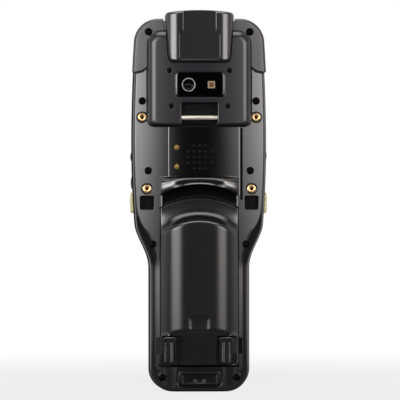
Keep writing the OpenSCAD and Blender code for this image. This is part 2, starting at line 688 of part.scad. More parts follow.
function all_key_places() = concat(
    [for (col = [0 : 2]) for (row = [0 : 3]) digit_place(col, row)],
    [scan_key_place], [[nav_place[0], nav_place[1], 0, 0]],
    [for (s = [-1, 1]) [s * function_key_place[0], function_key_place[1], 0, 0]]);
dome_y = flange_y - flange_t - key_travel - slip;
module keypad_mat() color([0.6, 0.6, 0.62]) at_part_plane() {
    mid_block(grip_w / 2 - 6, mat_y, mat_y + mat_t, 20, glass_z0 - 7);
    for (p = all_key_places()) rod_y(p[0], p[1], mat_y + mat_t / 2, dome_y, dome_r);
}
module keypad_board() color([0.05, 0.35, 0.2]) at_part_plane()
    mid_block(grip_w / 2 - 5.6, pad_board_y, pad_board_y + pad_board_t, 18, glass_z0 - 6);

module battery_contacts() color([0.85, 0.7, 0.3]) at_part_plane()
    mid_block(9, bay_y - 0.1, bay_y + bay_wall, pack_z1 - 14, pack_z1 - 8);
module io_connector() color([0.6, 0.6, 0.62]) at_part_plane() difference() {
    mid_block(9.6, -heel_d + 4.6, 1.9, 3.2, 10);
    mid_block(8.2, -heel_d + 4, -heel_d + 9.5, 4.4, 8.8);
}

// ---------- battery pack ----------

ridge_half = pack_w / 2 - 4.1;
ridge_z0 = pack_z0 + 17.6;
ridge_z1 = pack_z1 - 11.6;
// The ridge over the two cells: a flat crown between round shoulders
module pack_ridge() {
    function crown(d) = let (
            half = ridge_half - d,
            top = [for (i = [8 : -1 : -8]) if (i != 0) let (x = half * i / 8)
                [x, ridge_z1 - d - 0.5 * arch_drop * pow(x / half, 2)]])
        concat([[half, ridge_z0 + d / 2]], top, [[-half, ridge_z0 + d / 2]]);
    loft([for (s = [[6.2, 0], [4, 0.35], [2.2, 1.2], [1, 2.6], [0.3, 4.4], [0, pack_rise + 1]])
        ring(crown(s[0]), 0, pack_y + s[1])]);
}

foot_y = strip_y - 4.5;              // latch zone at its top edge
module pack_foot() along_x(-ridge_half, ridge_half) polygon([
    [strip_y + 1, pack_z0], [strip_y - 1.2, pack_z0], [strip_y - 1.6, pack_z0 + 0.5],
    [foot_y, lock_z1 + 1.4], [foot_y + 0.4, ridge_z0 + 1], [strip_y + 1, ridge_z0 + 1]]);

module cell_room() {
    mid_block(cell_room_w / 2, -cell_d / 2 - 2 * cell_gap, 0, cell_z0 - cell_gap, cell_z0 + cell_l + 1.5);
    for (s = [-1, 1]) translate([s * (cell_d + cell_gap) / 2, -cell_d / 2 - cell_gap, cell_z0 - cell_gap])
        cylinder(h = cell_l + 1.6, r = cell_d / 2 + cell_gap);
}

joint_y = -4;                        // where the cover meets the tray
module battery_cover() color([0.13, 0.13, 0.14]) at_part_plane() difference() {
    union() {
        along_y(strip_y, joint_y) polygon(pack_outline());
        pack_ridge();
        pack_foot();
        // hook that holds the top edge in the bay
        mid_block(7, strip_y + 4, -5, pack_z1 - 4, pack_z1 + 3);
    }
    cell_room();
    // pockets of the two locks, each with a way out for its tongue
    both_sides() {
        block([lock_x - lock_travel - 0.7, hood_y, lock_z0 - 0.3],
            [lock_x + lock_w + 0.2, lock_floor_y, lock_z1 + 0.3]);
        block([lock_x, -rear_d - 0.2, tongue_z0 - 0.2],
            [pack_w, lock_floor_y, tongue_z1 + 0.2]);
        block([lock_x - 1, lock_floor_y - 1, lock_z0 + 3], [lock_x + 5, lock_floor_y + 0.5, lock_z0 + 6]);
    }
}

module battery_tray() color([0.1, 0.1, 0.1]) at_part_plane() difference() {
    intersection() {
        along_y(joint_y, pack_base_y) polygon(pack_outline());
        along_x(-pack_w, pack_w) polygon([
            [joint_y, pack_z0], [joint_y + 0.6, pack_z0], [pack_base_y, pack_z0 + 6],
            [pack_base_y, pack_z1 + 1], [joint_y, pack_z1 + 1]]);
    }
    cell_room();
    mid_block(cell_room_w / 2 - 1, joint_y - 1, -0.4, pack_z0 + 7, cell_z0 - 2);
    terminal_strips(pack_base_y + 1);
}

terminal_xs = [for (i = [0 : 3]) -6.6 + i * 4.4];
module terminal_strips(y1) for (x = terminal_xs)
    block([x - 1.2, pack_base_y - 0.4, pack_z1 - 13.5], [x + 1.2, y1, pack_z1 - 8.5]);
module battery_terminals() color([0.85, 0.7, 0.3]) at_part_plane() terminal_strips(pack_base_y);

module battery_cells() color([0.2, 0.3, 0.5]) at_part_plane()
    for (s = [-1, 1]) translate([s * (cell_d + cell_gap) / 2, -cell_d / 2 - cell_gap, cell_z0])
        cylinder(h = cell_l, r = cell_d / 2);

module lock_leaves() color([0.7, 0.7, 0.7]) at_part_plane() both_sides()
    block([lock_x - 1, lock_floor_y + 0.1, lock_z0 + 3], [lock_x + 5, lock_floor_y + 0.5, lock_z0 + 6]);

// A lock: a ribbed pad to push, and a tongue that reaches into the housing
module lock(x) {
    y1 = lock_floor_y - slip;
    along_x(x, x + lock_w) polygon([
        [y1, lock_z0], [strip_y - 1.9, lock_z0], [foot_y - 0.7, lock_z1 - 1],
        [foot_y - 0.1, lock_z1], [y1, lock_z1]]);
    block([x + lock_w - 0.5, -rear_d, tongue_z0], [x + lock_w + tongue_reach, y1, tongue_z1]);
}
module lock_left() color([0.16, 0.16, 0.17]) at_part_plane() mirror([1, 0, 0]) lock(lock_x);
module lock_right() color([0.16, 0.16, 0.17]) at_part_plane() lock(lock_x - right_lock_open);

// ---------- connector cover ----------

module connector_cover() color([0.12, 0.12, 0.12]) at_part_plane() {
    along_y(-heel_d, -heel_d + 1.2) polygon(round_rect(-11.2, 11.2, 2.5, 11.2, 2.4));
    mid_block(9.4, -heel_d + 1.1, -heel_d + 2.6, 3.6, 9.4);
}

// ---------- side buttons: positive x side ----------

side_gap = 0.3;                      // gap between a side button's flange and the wall
module side_button(place, r) {
    seat_x = half_w(place[0] - place[1] / 2 - flange_w) - wall - side_gap;
    side_button_form(place, seat_x - 0.1, place[4], 0, r);
    side_button_form(place, seat_x - flange_t, seat_x, flange_w, r);
}
trigger_color = [0.9, 0.85, 0.3];
module on_left() mirror([1, 0, 0]) children();
module side_trigger(place) color(trigger_color) at_part_plane() side_button(place, 1.8);
module side_key(place) color([0.1, 0.1, 0.1]) at_part_plane() side_button(place, 1.3);
module side_trigger_left() on_left() side_trigger(trigger_place);
module side_trigger_right() side_trigger(trigger_place);
module side_key_upper_left() on_left() side_key(upper_key_place);
module side_key_lower_left() on_left() side_key(lower_key_place);
module side_key_right() side_key(right_key_place);

// ---------- front keys ----------

module front_key(place, r = 1.2) {
    w = place[2] / 2;
    h = place[3] / 2;
    module slab(y0, y1, grow) along_y(y0, y1) polygon(round_rect(
        place[0] - w - grow, place[0] + w + grow, place[1] - h - grow, place[1] + h + grow, r));
    slab(flange_y - 0.1, key_y, 0);
    slab(flange_y - flange_t, flange_y, flange_w);
}
key_color = [0.15, 0.15, 0.16];
module digit_key(col, row) color(key_color) at_part_plane() front_key(digit_place(col, row));
module key_1() digit_key(0, 0);
module key_2() digit_key(1, 0);
module key_3() digit_key(2, 0);
module key_4() digit_key(0, 1);
module key_5() digit_key(1, 1);
module key_6() digit_key(2, 1);
module key_7() digit_key(0, 2);
module key_8() digit_key(1, 2);
module key_9() digit_key(2, 2);
module key_clear() digit_key(0, 3);
module key_0() digit_key(1, 3);
module key_enter() digit_key(2, 3);
module key_scan() color(trigger_color) at_part_plane() front_key(scan_key_place, 2.5);
module key_function_left() color(key_color) at_part_plane() mirror([1, 0, 0]) front_key(function_key_place);
module key_function_right() color(key_color) at_part_plane() front_key(function_key_place);
module nav_ring() color([0.35, 0.35, 0.37]) at_part_plane() difference() {
    union() {
        rod_y(nav_place[0], nav_place[1], flange_y - 0.1, key_y, nav_r);
        rod_y(nav_place[0], nav_place[1], flange_y - flange_t, flange_y, nav_r + flange_w);
    }
    rod_y(nav_place[0], nav_place[1], flange_y - 3, key_y + 1, ok_r + 0.3);
}
module key_ok() color(key_color) at_part_plane()
    rod_y(nav_place[0], nav_place[1], flange_y - flange_t, key_y, ok_r);

rear_housing();
front_housing();
housing_seal();
corner_bumpers();
finger_rest();
module_housing();
scanner_hood();
scan_window();
scan_engine();
camera_window();
camera_ring();
camera_lens();
flash_led();
camera_board();
strap_bar();
module_screws();
housing_screws();
grip_inserts();
trigger_contacts();
speaker();
display_glass();
display_module();
main_board();
card_holder();
receiver();
keypad_mat();
keypad_board();
battery_contacts();
io_connector();
antenna();
battery_cover();
battery_tray();
battery_cells();
battery_terminals();
lock_leaves();
lock_left();
lock_right();
connector_cover();
side_trigger_left();
side_trigger_right();
side_key_upper_left();
side_key_lower_left();
side_key_right();
nav_ring();
key_ok();
key_scan();
key_function_left();
key_function_right();
key_1();
key_2();
key_3();
key_4();
key_5();
key_6();
key_7();
key_8();
key_9();
key_clear();
key_0();
key_enter();
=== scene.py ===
"""Portable barcode data terminal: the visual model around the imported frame."""

import math

import bpy
import numpy as np
from bpy.props import FloatProperty, FloatVectorProperty, IntProperty, PointerProperty
from mathutils import Matrix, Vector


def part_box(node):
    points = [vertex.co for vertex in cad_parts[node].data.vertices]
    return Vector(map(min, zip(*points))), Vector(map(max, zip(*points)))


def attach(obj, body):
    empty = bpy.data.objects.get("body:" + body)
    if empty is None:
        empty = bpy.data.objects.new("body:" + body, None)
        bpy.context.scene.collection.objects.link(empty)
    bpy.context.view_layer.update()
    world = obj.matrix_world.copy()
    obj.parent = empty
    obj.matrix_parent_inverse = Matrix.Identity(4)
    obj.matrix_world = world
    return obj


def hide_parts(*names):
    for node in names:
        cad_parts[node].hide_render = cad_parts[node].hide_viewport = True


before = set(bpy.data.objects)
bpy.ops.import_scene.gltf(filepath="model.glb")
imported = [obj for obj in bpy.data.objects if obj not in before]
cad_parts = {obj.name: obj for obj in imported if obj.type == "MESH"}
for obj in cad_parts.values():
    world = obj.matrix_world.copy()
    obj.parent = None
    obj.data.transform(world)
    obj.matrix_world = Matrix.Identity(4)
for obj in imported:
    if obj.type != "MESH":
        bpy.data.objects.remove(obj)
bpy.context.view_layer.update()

bl_info = {
    "name": "Barcode terminal",
    "version": (1, 0, 0),
    "blender": (4, 5, 0),
    "location": "View3D > Sidebar > Terminal",
    "description": "Builds the casing, pack, keys and camera module of a handheld barcode terminal",
    "category": "Add Mesh",
}

# ---------- sizes in mm, with y counted from the plane where the two halves meet ----------

MM = 0.001
FRONT_D = 12.5
PART_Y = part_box("front_housing")[1].y / MM - FRONT_D
STRIP_Y = -13.0
HEEL_RISE, HEEL_Z = 2.5, 12.9
WALL = 1.8
GRIP_HALF, HEAD_HALF, BODY_L = 26.7, 35.7, 195.3
BASE_R, TOP_R = 11.5, 12.8
REAR_MARGIN, UNDERCUT = 0.8, 0.8
FLARE_Z, FLARE_L, BULGE_Z = 64.8, 23.0, 129.0
PACK_HALF, PACK_Z0, PACK_Z1, ARCH_DROP = 20.7, 13.5, 101.6, 5.3
PACK_GAP, BAY_Y, BAY_WALL = 0.3, 1.5, 1.6
PACK_Y = -19.5
CREST_Z, CREST_RISE = 110.3, 5.6
MODULE_Y, MODULE_HALF, MODULE_Z0, MODULE_Z1 = -18.5, 27.1, 139.4, 189.1
HOOD_Y, HOOD_Z0, HOOD_Z1, HOOD_FOOT, HOOD_TOP = -22.0, 172.5, 199.85, 16.3, 18.2
STRAP_HALF, STRAP_Z, RECESS_Z1 = 9.5, 143.6, 151.5
SIDE_SCREWS = ((29.9, 152.5), (26.8, 115.9), (24.4, 77.3), (19.5, 7.3))
BUMPER_SCREW = (26.6, 188.8)
MODULE_SCREWS = ((15.7, 168.2), (14.8, 149.6))
INSERTS = ((30.0, 143.9), (27.5, 106.4))
COLLAR_R, INSERT_R, INSERT_END_Y = 2.95, 2.2, -7.7
CAMERA_X, FLASH_X, WINDOW_X, WINDOW_Z = -5.7, 6.2, 0.3, 160.8
LOCK_W, LOCK_Z0, LOCK_Z1, LOCK_FLOOR = 7.2, 14.8, 28.9, -10.0
KEY_Y, FIELD_Y, FLANGE_Y, BUTTON_Y = 12.4, 11.1, 9.2, 4.6
KEY_TOP_Z, KEY_STEP_X, KEY_STEP_Z = 60.1, 13.6, 11.2
NAV_Z, NAV_HOLE_R, NAV_DOT_R = 89.0, 8.95, 6.9
PIN_X, PIN_ZS = -11.9, (118.1, 128.2)
SPEAKER_Z, HOLE_STEP = 123.2, 3.0
SOCKET_X, SOCKET_Z, SOCKET_HALF = 27.5, 99.0, 3.6
CLEAR_Y = -18.0         # where cutters begin, clear of the back's surface
SINK_Y = -9.2           # how deep the hidden hollows under module and hood go
CORNER_POINTS, BACK_COLUMNS, INNER_COLUMNS = 14, 44, 20
SIDES = (-1, 1)

# Plain blocks, as x0, x1, y0, y1, z0, z1.
SOCKET_WALL = (22.9, 32.1, -10.6, -5.8, 94.2, 103.8)
PORT_WALL = (-11.8, 11.8, -14.5, -1, 1, 12.3)
STRAP_WALL = (-11.5, 11.5, -12.0, -10.0, MODULE_Z0 + 0.2, 153.0)
HOOK_WALL = (-9.5, 9.5, STRIP_Y + 1, -2.5, 99.6, 106.8)
STRAP_RECESS = (-STRAP_HALF, STRAP_HALF, CLEAR_Y, -11.4, 141.0, RECESS_Z1)
MODULE_HOLLOW = (-22, 22, -16, SINK_Y, RECESS_Z1 + 2, HOOD_Z0 - 1)
HOOD_HOLLOW = (-12, 12, -16, SINK_Y, HOOD_Z0 + 1.5, 190.8)
LOCK_SLOT = (20.3, 22.5, -19, -9.5, 19.7, 28.3)
FOOT_SLOT = (-21.0, 21.0, -20, BAY_Y, PACK_Z0 - 0.6, PACK_Z0 + 1)
HOOK_SLOT = (-7.5, 7.5, STRIP_Y + 3.5, -4.2, 98.6, 105.0)
REAR_PORT = (-10.2, 10.2, -15, 1, 2.8, 10.4)
FRONT_PORT = (-10.2, 10.2, -1, 2, 2.8, 10.4)
KEYPAD_WALL = (-24.5, 24.5, 9.3, 11.5, 8, 61.5)
NAV_WALL = (-25.5, 25.5, 9.3, 11.5, 61, 103)
DISPLAY_WALL = (-29.6, 29.6, 9.0, 11.5, 102.5, 185.8)
DISPLAY_OPENING = (-26.1, 26.1, 5, 11.6, 108, 182)
MODULE_HOLLOW_LOW = (11.5, 25, MODULE_Y + 1.9, -8, MODULE_Z0 + 1.8, 153.4)
MODULE_HOLLOW_HIGH = (19.8, 25, MODULE_Y + 1.9, -8, 170.5, 185)
SCANNER_ROOM = (-13.6, 13.6, HOOD_Y + 2.2, -8, HOOD_Z0 + 1.8, 197.7)
SCANNER_MOUTH = (-12.5, 12.5, -19, -9, 197.75, 202)
LOCK_PASSAGE = (12, 22, -13.25, LOCK_FLOOR, 19.8, 28.2)
CELL_ROOM = (-19.4, 19.4, -9.2, -3.8, 34, 85.4)
PACK_HOOK = (-7, 7, -9, -5, 97.6, 104.5)

# Rectangles with round corners, as x0, x1, z0, z1, the corners' radius and, if given, their points.
LABEL = (-31.8, -17.0, 119.2, 138.2, 0.4)
SIDE_GROOVE = (21.5, 22.8, 100.6, 138.3, 0.3, 3)
# The sheet behind the side groove is dark: painted shade in the groove.
GROOVE_SHADE_SHEET = (21.2, 22.85, 100.3, 138.6, 0.3, 3)
PORT_SEAT = (-11.5, 11.5, 2.2, 11.5, 2.6)
MODULE_FOOT = (-MODULE_HALF, MODULE_HALF, MODULE_Z0, MODULE_Z1, 4.0, 10)
KEY_FIELD = (-21.8, 21.8, 17.5, 100.8, 6, 10)
DISPLAY_SEAT = (-28.1, 28.1, 105.9, 184.1, 2.5, 8)
DISPLAY_PANE = (-28, 28, 106, 184, 2.4, 10)
EARPIECE = (-6, 6, 187.2, 188.6, 0.6)
CAP_LIMIT = (-27.5, 27.5, 139.4, 189.5, 7.4, 16)
STRAP_MOUTH = (-STRAP_HALF, STRAP_HALF, 130.0, RECESS_Z1, 0.8)
HOOD_CHANNEL = (-10.4, 10.4, HOOD_Z0 + 1.6, 188.3, 1.6)
HOOD_NOTCH = (-8.3, 8.3, 184.0, 206.0, 0.8)
LOCK_POCKET = (9.1, 19.75, LOCK_Z0 - 0.35, LOCK_Z1 + 0.3, 0.9)
PORT_LID = (-11.2, 11.2, 2.5, 11.2, 2.4, 12)
PORT_PLUG = (-9.4, 9.4, 3.6, 9.4, 1.2)

# The seam beside each corner cap and the field that the cap covers, as points of x and z.
CAP_SEAM = ((26.6, 170.2), (29.4, 167.5), (36.9, 165.9), (36.9, 167.6), (30.4, 169.0), (27.8, 171.2))
CAP_ZONE = ((18.7, 200.3), (18.7, 176.8), (24.1, 176.8), (27.6, 170.5), (30.2, 168.7), (36.7, 167.3),
            (71.4, 167.3), (71.4, 200.3))

# The two fine ribs of the back, each from one z to another, with its section's x and depth.
RIBS = ((112.6, 138.7, ((-16.3, 0.3), (-16.3, 0.0), (-15.9, -0.09), (-15.7, 0.3))),
        (103.0, 138.6, ((20.6, 0.3), (20.75, -0.16), (21.4, 0.02), (21.4, 0.3))))


# ---------- settings ----------

def number(name, text, default, **more):
    """A number setting."""
    return FloatProperty(name=name, description=text, default=default, **more)


def length(name, text, default):
    """A length setting, given in mm and kept in metres."""
    return number(name, text, default * MM, unit="LENGTH", precision=5)


def colour(name, text, default):
    """A colour setting."""
    return FloatVectorProperty(name=name, description=text, default=default, size=3, min=0, max=1,
                               subtype="COLOR")


class CasingSettings(bpy.types.PropertyGroup):
    """Shape of the casing's surfaces"""
    crown: length("Crown", "Fall of the back between its middle and the side screws", 1.7)
    lip: length("Lip", "Rounding at the mouth of wells and pockets", 0.3)
    step: IntProperty(name="Rows", description="Rows of the casing's surface", default=90, min=30)


class PackSettings(bpy.types.PropertyGroup):
    """Shape of the battery pack"""
    crown_half: length("Flat crown", "Half width of the flat middle of the ridge", 7.4)
    ridge_half: length("Ridge", "Half width of the ridge over the two cells", 20.6)
    arc_z: length("Ridge end", "Height at which the ridge ends below the scoop", 89.6)
    cells: IntProperty(name="Columns", description="Columns of the pack's surface", default=150, min=40)


class FinishSettings(bpy.types.PropertyGroup):
    """Colours of the finishes"""
    housing: colour("Housing", "Rear half of the casing", (0.0034, 0.0031, 0.0031))
    front: colour("Front", "Front half of the casing", (0.005, 0.005, 0.0055))
    bumper: colour("Bumpers", "Rubber over the top corners", (0.024, 0.0235, 0.0235))
    module: colour("Module", "Camera module", (0.0175, 0.017, 0.022))
    hood: colour("Hood", "Hood of the scan head", (0.013, 0.0126, 0.0155))
    pack: colour("Pack", "Battery pack", (0.0062, 0.0056, 0.0058))
    rest: colour("Finger rest", "Ridge above the pack", (0.004, 0.0038, 0.0038))
    cover: colour("Port cover", "Rubber cover over the connector", (0.0032, 0.0034, 0.005))
    trigger: colour("Triggers", "Side triggers and scan key", (0.96, 0.93, 0.52))
    brass: colour("Brass", "Threaded inserts", (0.74, 0.50, 0.25))


class StageSettings(bpy.types.PropertyGroup):
    """Camera and lights"""
    azimuth: number("Azimuth", "Turn of the camera about the upright axis", math.radians(-1.6),
                    unit="ROTATION")
    distance: number("Distance", "Distance of the camera", 1.6, unit="LENGTH")
    shift_x: length("Sideways", "How far the camera stands to the right of the middle", 0.55)
    roll: number("Roll", "Turn of the camera about its view", math.radians(-0.05), unit="ROTATION")
    centre_z: length("Height", "Height of the middle of the view", 100.5)
    lens: number("Lens", "Focal length in mm", 273.0)
    lamp_turn: number("Lamp turn", "Side lamps' turn from the back, in degrees", 28.0)
    side_power: number("Side lamps", "Power of a side lamp", 9.5, unit="POWER")
    ambient: number("Surroundings", "Strength of the light from all round", 0.15)
    gloss_side: number("Dark side", "Strength of the surroundings in gloss there", 0.005)
    gloss_floor: number("Dark floor", "Strength of the floor in gloss on that side", 0.12)
    low_share: number("Low share", "Share of the panels' strength below the horizon", 0.1)
    left_end: number("Left end", "Angle where the left panel ends", 60.0)
    right_end: number("Right end", "Angle where the right panel ends", 56.0)
    left_start: number("Left start", "Angle where the left panel begins", 3.2)
    right_start: number("Right start", "Angle where the right panel begins", 5.2)
    left_panel: number("Left panel", "Strength of the left panel in gloss", 9.8)
    right_panel: number("Right panel", "Strength of the right panel in gloss", 7.5)
    top_panel: number("Top panel", "Strength of the panel above in gloss", 4.3)


SETTINGS = {"terminal_casing": CasingSettings, "terminal_pack": PackSettings,
            "terminal_finish": FinishSettings, "terminal_stage": StageSettings}


# ---------- outlines and levels ----------

def smooth(t):
    """A step from 0 to 1 that starts and ends level."""
    u = np.clip(t, 0.0, 1.0)
    return u * u * (3.0 - 2.0 * u)


def half_width(z):
    """Half width of the casing: a straight grip, a flare and a bulged head."""
    u = z - BULGE_Z
    bulge = np.where(u < 0, 2.4 * (u / 50) ** 2, 1.71735 * (u / (BODY_L - TOP_R - BULGE_Z)) ** 2)
    return GRIP_HALF + smooth((z - FLARE_Z) / FLARE_L) * (HEAD_HALF - bulge - GRIP_HALF)


def crown(x):
    """Fall of the back from its middle: grows with the square of the distance from it."""
    return bpy.context.scene.terminal_casing.crown / MM * (np.asarray(x) / 30.0) ** 2


def heel_sweep(x, z):
    """How far the back stands out towards the foot, in the middle between the strips."""
    return HEEL_RISE * (1 - smooth((np.asarray(z) - HEEL_Z) / HEEL_Z)) * (1 - smooth((np.abs(x) - 12) / 7.5))


def back_level(x, z):
    """Level of the back's surface."""
    return STRIP_Y + crown(x) - heel_sweep(x, z)


def sunk_by(depth):
    """The level that lies so far below the back's surface."""
    return lambda x, z: back_level(x, z) + depth


def flat(y):
    """The plane at y, as a level over x and z."""
    return lambda x, z: y + 0 * x


def arch_z(x):
    """Height of the pack's arched top edge."""
    return PACK_Z1 - ARCH_DROP * (np.asarray(x) / PACK_HALF) ** 2


def arc(cx, cz, r, a0, a1, n):
    """Points of a round corner, from one angle to another, in degrees."""
    a = np.radians(np.linspace(a0, a1, n))
    return np.column_stack([cx + r * np.cos(a), cz + r * np.sin(a)])


def moved_in(half, inset):
    """A half outline that goes up, moved inwards along its normals."""
    along = np.gradient(half, axis=0)
    normal = np.column_stack([-along[:, 1], along[:, 0]])
    normal /= np.linalg.norm(normal, axis=1)[:, None]
    normal[0], normal[-1] = (0, 1), (0, -1)
    return half + inset * normal


def edge_share(z):
    """Share of the rounded edge's width: all of it at the grip, less at the foot and the head."""
    return (1 - 0.74 * smooth((z - 78) / 18)) * (0.4 + 0.6 * smooth((z - 0.5) / 9))


def body_half(margin, inset=0.0, edge=0.0):
    """Right half of the casing's outline: foot corner, flank and head corner. An edge is an
    inset that shrinks round the foot and the head."""
    rows = bpy.context.scene.terminal_casing.step
    top_z = BODY_L - TOP_R - margin
    z = np.linspace(BASE_R, top_z, rows)[1:-1]
    side = np.column_stack([half_width(z) - margin, z])
    foot = arc(GRIP_HALF - margin - BASE_R, BASE_R, BASE_R, -90, 0, CORNER_POINTS)
    head = arc(half_width(top_z) - margin - TOP_R, top_z, TOP_R, 0, 90, CORNER_POINTS)
    half = np.concatenate([foot, side, head])
    return moved_in(half, (inset + edge * edge_share(half[:, 1]))[:, None])


def hood_half(inset=0.0):
    """Right half of the hood's outline: it widens upwards and ends in a flat arc."""
    r = max(2.5 - inset, 0.5)
    foot, top = HOOD_FOOT - inset, HOOD_TOP - inset
    z1 = HOOD_Z1 - 1 - inset
    low = arc(foot - r, HOOD_Z0 + inset + r, r, -90, 0, 10)
    x = (top - r + r * math.cos(math.radians(80))) * np.cos(np.radians(np.linspace(4, 86, 12)))
    rise = z1 - r + r * math.sin(math.radians(80))
    over = np.column_stack([x, rise + (HOOD_Z1 - inset - rise) * (1 - (x / (top - r)) ** 2)])
    z = np.linspace(HOOD_Z0 + inset + r, z1 - r, 14)[1:-1]
    flank = np.column_stack([foot + (top - foot) * (z - HOOD_Z0) / (z1 - HOOD_Z0), z])
    high = arc(top - r, z1 - r, r, 0, 78, 9)
    return np.concatenate([low, flank, high, over[over[:, 0] < high[-1, 0] - 0.3]])


def round_rect(x0, x1, z0, z1, r, n=6):
    """Outline of a rectangle with round corners, which can be grown."""
    def outline(grow=0.0):
        q = max(r + grow, 0.05)
        a, b, c, d = x0 - grow, x1 + grow, z0 - grow, z1 + grow
        return np.concatenate([arc(b - q, c + q, q, -90, 0, n), arc(b - q, d - q, q, 0, 90, n),
                               arc(a + q, d - q, q, 90, 180, n), arc(a + q, c + q, q, 180, 270, n)])
    return outline


def centred(x, z, w, h, r, n=6):
    """Outline of a rectangle with round corners, by its middle and half sizes."""
    return round_rect(x - w, x + w, z - h, z + h, r, n)


def whole(half):
    """A closed outline from its right half."""
    return np.concatenate([half, half[::-1] * (-1, 1)])


def divided(outline, step=2.0):
    """The same outline with more points along its long edges, as many whatever it is grown by."""
    first = outline(0.0)
    parts = np.maximum(1, np.ceil(np.linalg.norm(np.roll(first, -1, 0) - first, axis=1) / step)).astype(int)
    start = np.repeat(np.arange(len(first)), parts)
    share = (np.arange(len(start)) - np.repeat(np.cumsum(parts) - parts, parts)) / np.repeat(parts, parts)

    def fine(grow=0.0):
        points = outline(grow)
        return points[start] + share[:, None] * (np.roll(points, -1, 0) - points)[start]
    return fine


def circle(x, z, r, n=28):
    """Outline of a circle, which can be grown."""
    return lambda grow=0.0: arc(x, z, r + grow, 0, 360, n + 1)[:-1]


def arched(grow=0.0):
    """Outline of the pack: straight foot and sides and an arched top."""
    half = PACK_HALF + grow
    x = np.linspace(half, -half, 41)
    top = np.column_stack([x, arch_z(x) + grow])
    z = np.linspace(PACK_Z0 - grow, top[0, 1], 31)[:-1]
    side = np.column_stack([np.full(len(z), half), z])
    return np.concatenate([side, top, side[::-1] * (-1, 1)])


# ---------- solids: an array of points and a list of face arrays ----------

def outward(points, *faces):
    """The solid with its faces turned outwards, judged by its signed volume."""
    corners = np.concatenate([f[:, [0, i, i + 1]] for f in faces for i in range(1, f.shape[1] - 1)])
    a, b, c = (points[corners[:, i]] for i in range(3))
    if np.einsum("ij,ij->i", a, np.cross(b, c)).sum() < 0:
        faces = [f[:, ::-1] for f in faces]
    return points, list(faces)


def joined(*solids):
    """Several solids as one set of points and faces."""
    start = np.cumsum([0] + [len(s[0]) for s in solids])
    return (np.concatenate([s[0] for s in solids]),
            [f + n for s, n in zip(solids, start) for f in s[1]])


def bands(count, n):
    """Quads between rings of n points, each ring joined to the next."""
    k, i = np.meshgrid(np.arange(count - 1), np.arange(n), indexing="ij")
    j = (i + 1) % n
    return np.stack([k * n + i, k * n + j, (k + 1) * n + j, (k + 1) * n + i], -1).reshape(-1, 4)


def cells_of(grid):
    """Quads between the neighbours of a grid of point numbers."""
    return np.stack([grid[:-1, :-1], grid[:-1, 1:], grid[1:, 1:], grid[1:, :-1]], -1).reshape(-1, 4)


def on_level(xz, level):
    """Points of an outline set on a level, which is a number or a function of x and z."""
    y = level(xz[:, 0], xz[:, 1]) if callable(level) else np.full(len(xz), float(level))
    return np.column_stack([xz[:, 0], y, xz[:, 1]])


def loft(rings):
    """A closed solid through rings of points, its ends closed by fans round their middles. A
    narrow border round each end keeps the shading of its rounded edge off the flat."""
    rings = np.asarray(rings, float)
    ends = [rings[i] + 0.08 * (rings[i].mean(0) - rings[i]) for i in (0, -1)]
    rings = np.concatenate([ends[:1], rings, ends[1:]])
    count, n = rings.shape[:2]
    points = np.concatenate([rings.reshape(-1, 3), [rings[0].mean(0), rings[-1].mean(0)]])
    i = np.arange(n)
    j = (i + 1) % n
    first, last = np.full(n, count * n), np.full(n, count * n + 1)
    return outward(points, bands(count, n), np.column_stack([j, i, first]),
                   np.column_stack([i, j, last]) + np.array([1, 1, 0]) * (count - 1) * n)


def tube(rings):
    """A closed ring-shaped solid: the last ring of points joins the first."""
    rings = np.asarray(rings, float)
    count, n = rings.shape[:2]
    faces = bands(count + 1, n)
    return outward(rings.reshape(-1, 3), np.where(faces >= count * n, faces - count * n, faces))


def pillow(halves, levels, cols):
    """A closed solid through half outlines and their mirror images. Each half has a level, a
    function of x and z, and both ends are grids of rows from side to side on their own levels."""
    rows = len(halves[0])
    t = np.linspace(1, -1, cols + 1)
    n = 2 * rows + 2 * (cols - 1)
    rings = []
    for half, level in zip(halves, levels):
        top = np.column_stack([half[-1, 0] * t[1:-1], np.full(cols - 1, half[-1, 1])])
        low = np.column_stack([-half[0, 0] * t[1:-1], np.full(cols - 1, half[0, 1])])
        rings.append(on_level(np.concatenate([half, top, half[::-1] * (-1, 1), low]), level))
    points, faces = [np.concatenate(rings)], [bands(len(rings), n)]
    start = len(points[0])
    for k, flip in ((0, True), (len(rings) - 1, False)):
        half, level = halves[k], levels[k]
        x = half[1:-1, :1] * -t[None, 1:-1]
        z = np.repeat(half[1:-1, 1:], cols - 1, 1)
        points.append(on_level(np.column_stack([x.ravel(), z.ravel()]), level))
        grid = np.empty((rows, cols + 1), int)
        ring = k * n
        grid[:, cols] = ring + np.arange(rows)
        grid[-1, 1:-1] = ring + rows + np.arange(cols - 1)[::-1]
        grid[::-1, 0] = ring + rows + cols - 1 + np.arange(rows)
        grid[0, 1:-1] = ring + 2 * rows + cols - 1 + np.arange(cols - 1)
        grid[1:-1, 1:-1] = start + np.arange((rows - 2) * (cols - 1)).reshape(rows - 2, cols - 1)
        faces.append(cells_of(grid)[:, ::-1] if flip else cells_of(grid))
        start += (rows - 2) * (cols - 1)
    return outward(np.concatenate(points), *faces)


def field(xs, zs, surface, floor):
    """A closed block on a grid of xs by zs (arrays of one shape) whose outer face is a surface
    of y values and whose inner face lies at the floor level."""
    rows, cols = xs.shape
    top = np.stack([xs, surface, zs], -1).reshape(-1, 3)
    base = np.stack([xs, np.broadcast_to(floor, xs.shape), zs], -1).reshape(-1, 3)
    grid = np.arange(rows * cols).reshape(rows, cols)
    quads = cells_of(grid)
    rim = np.concatenate([grid[0, :-1], grid[:-1, -1], grid[-1, :0:-1], grid[:0:-1, 0]])
    after = np.roll(rim, -1)
    count = rows * cols
    sides = np.column_stack([after, rim, rim + count, after + count])
    return outward(np.concatenate([top, base]), quads, quads[:, ::-1] + count, sides)


def rings_y(outline, steps):
    """Rings of an outline: each step is a growth and a level."""
    return [on_level(outline(grow), level) for grow, level in steps]


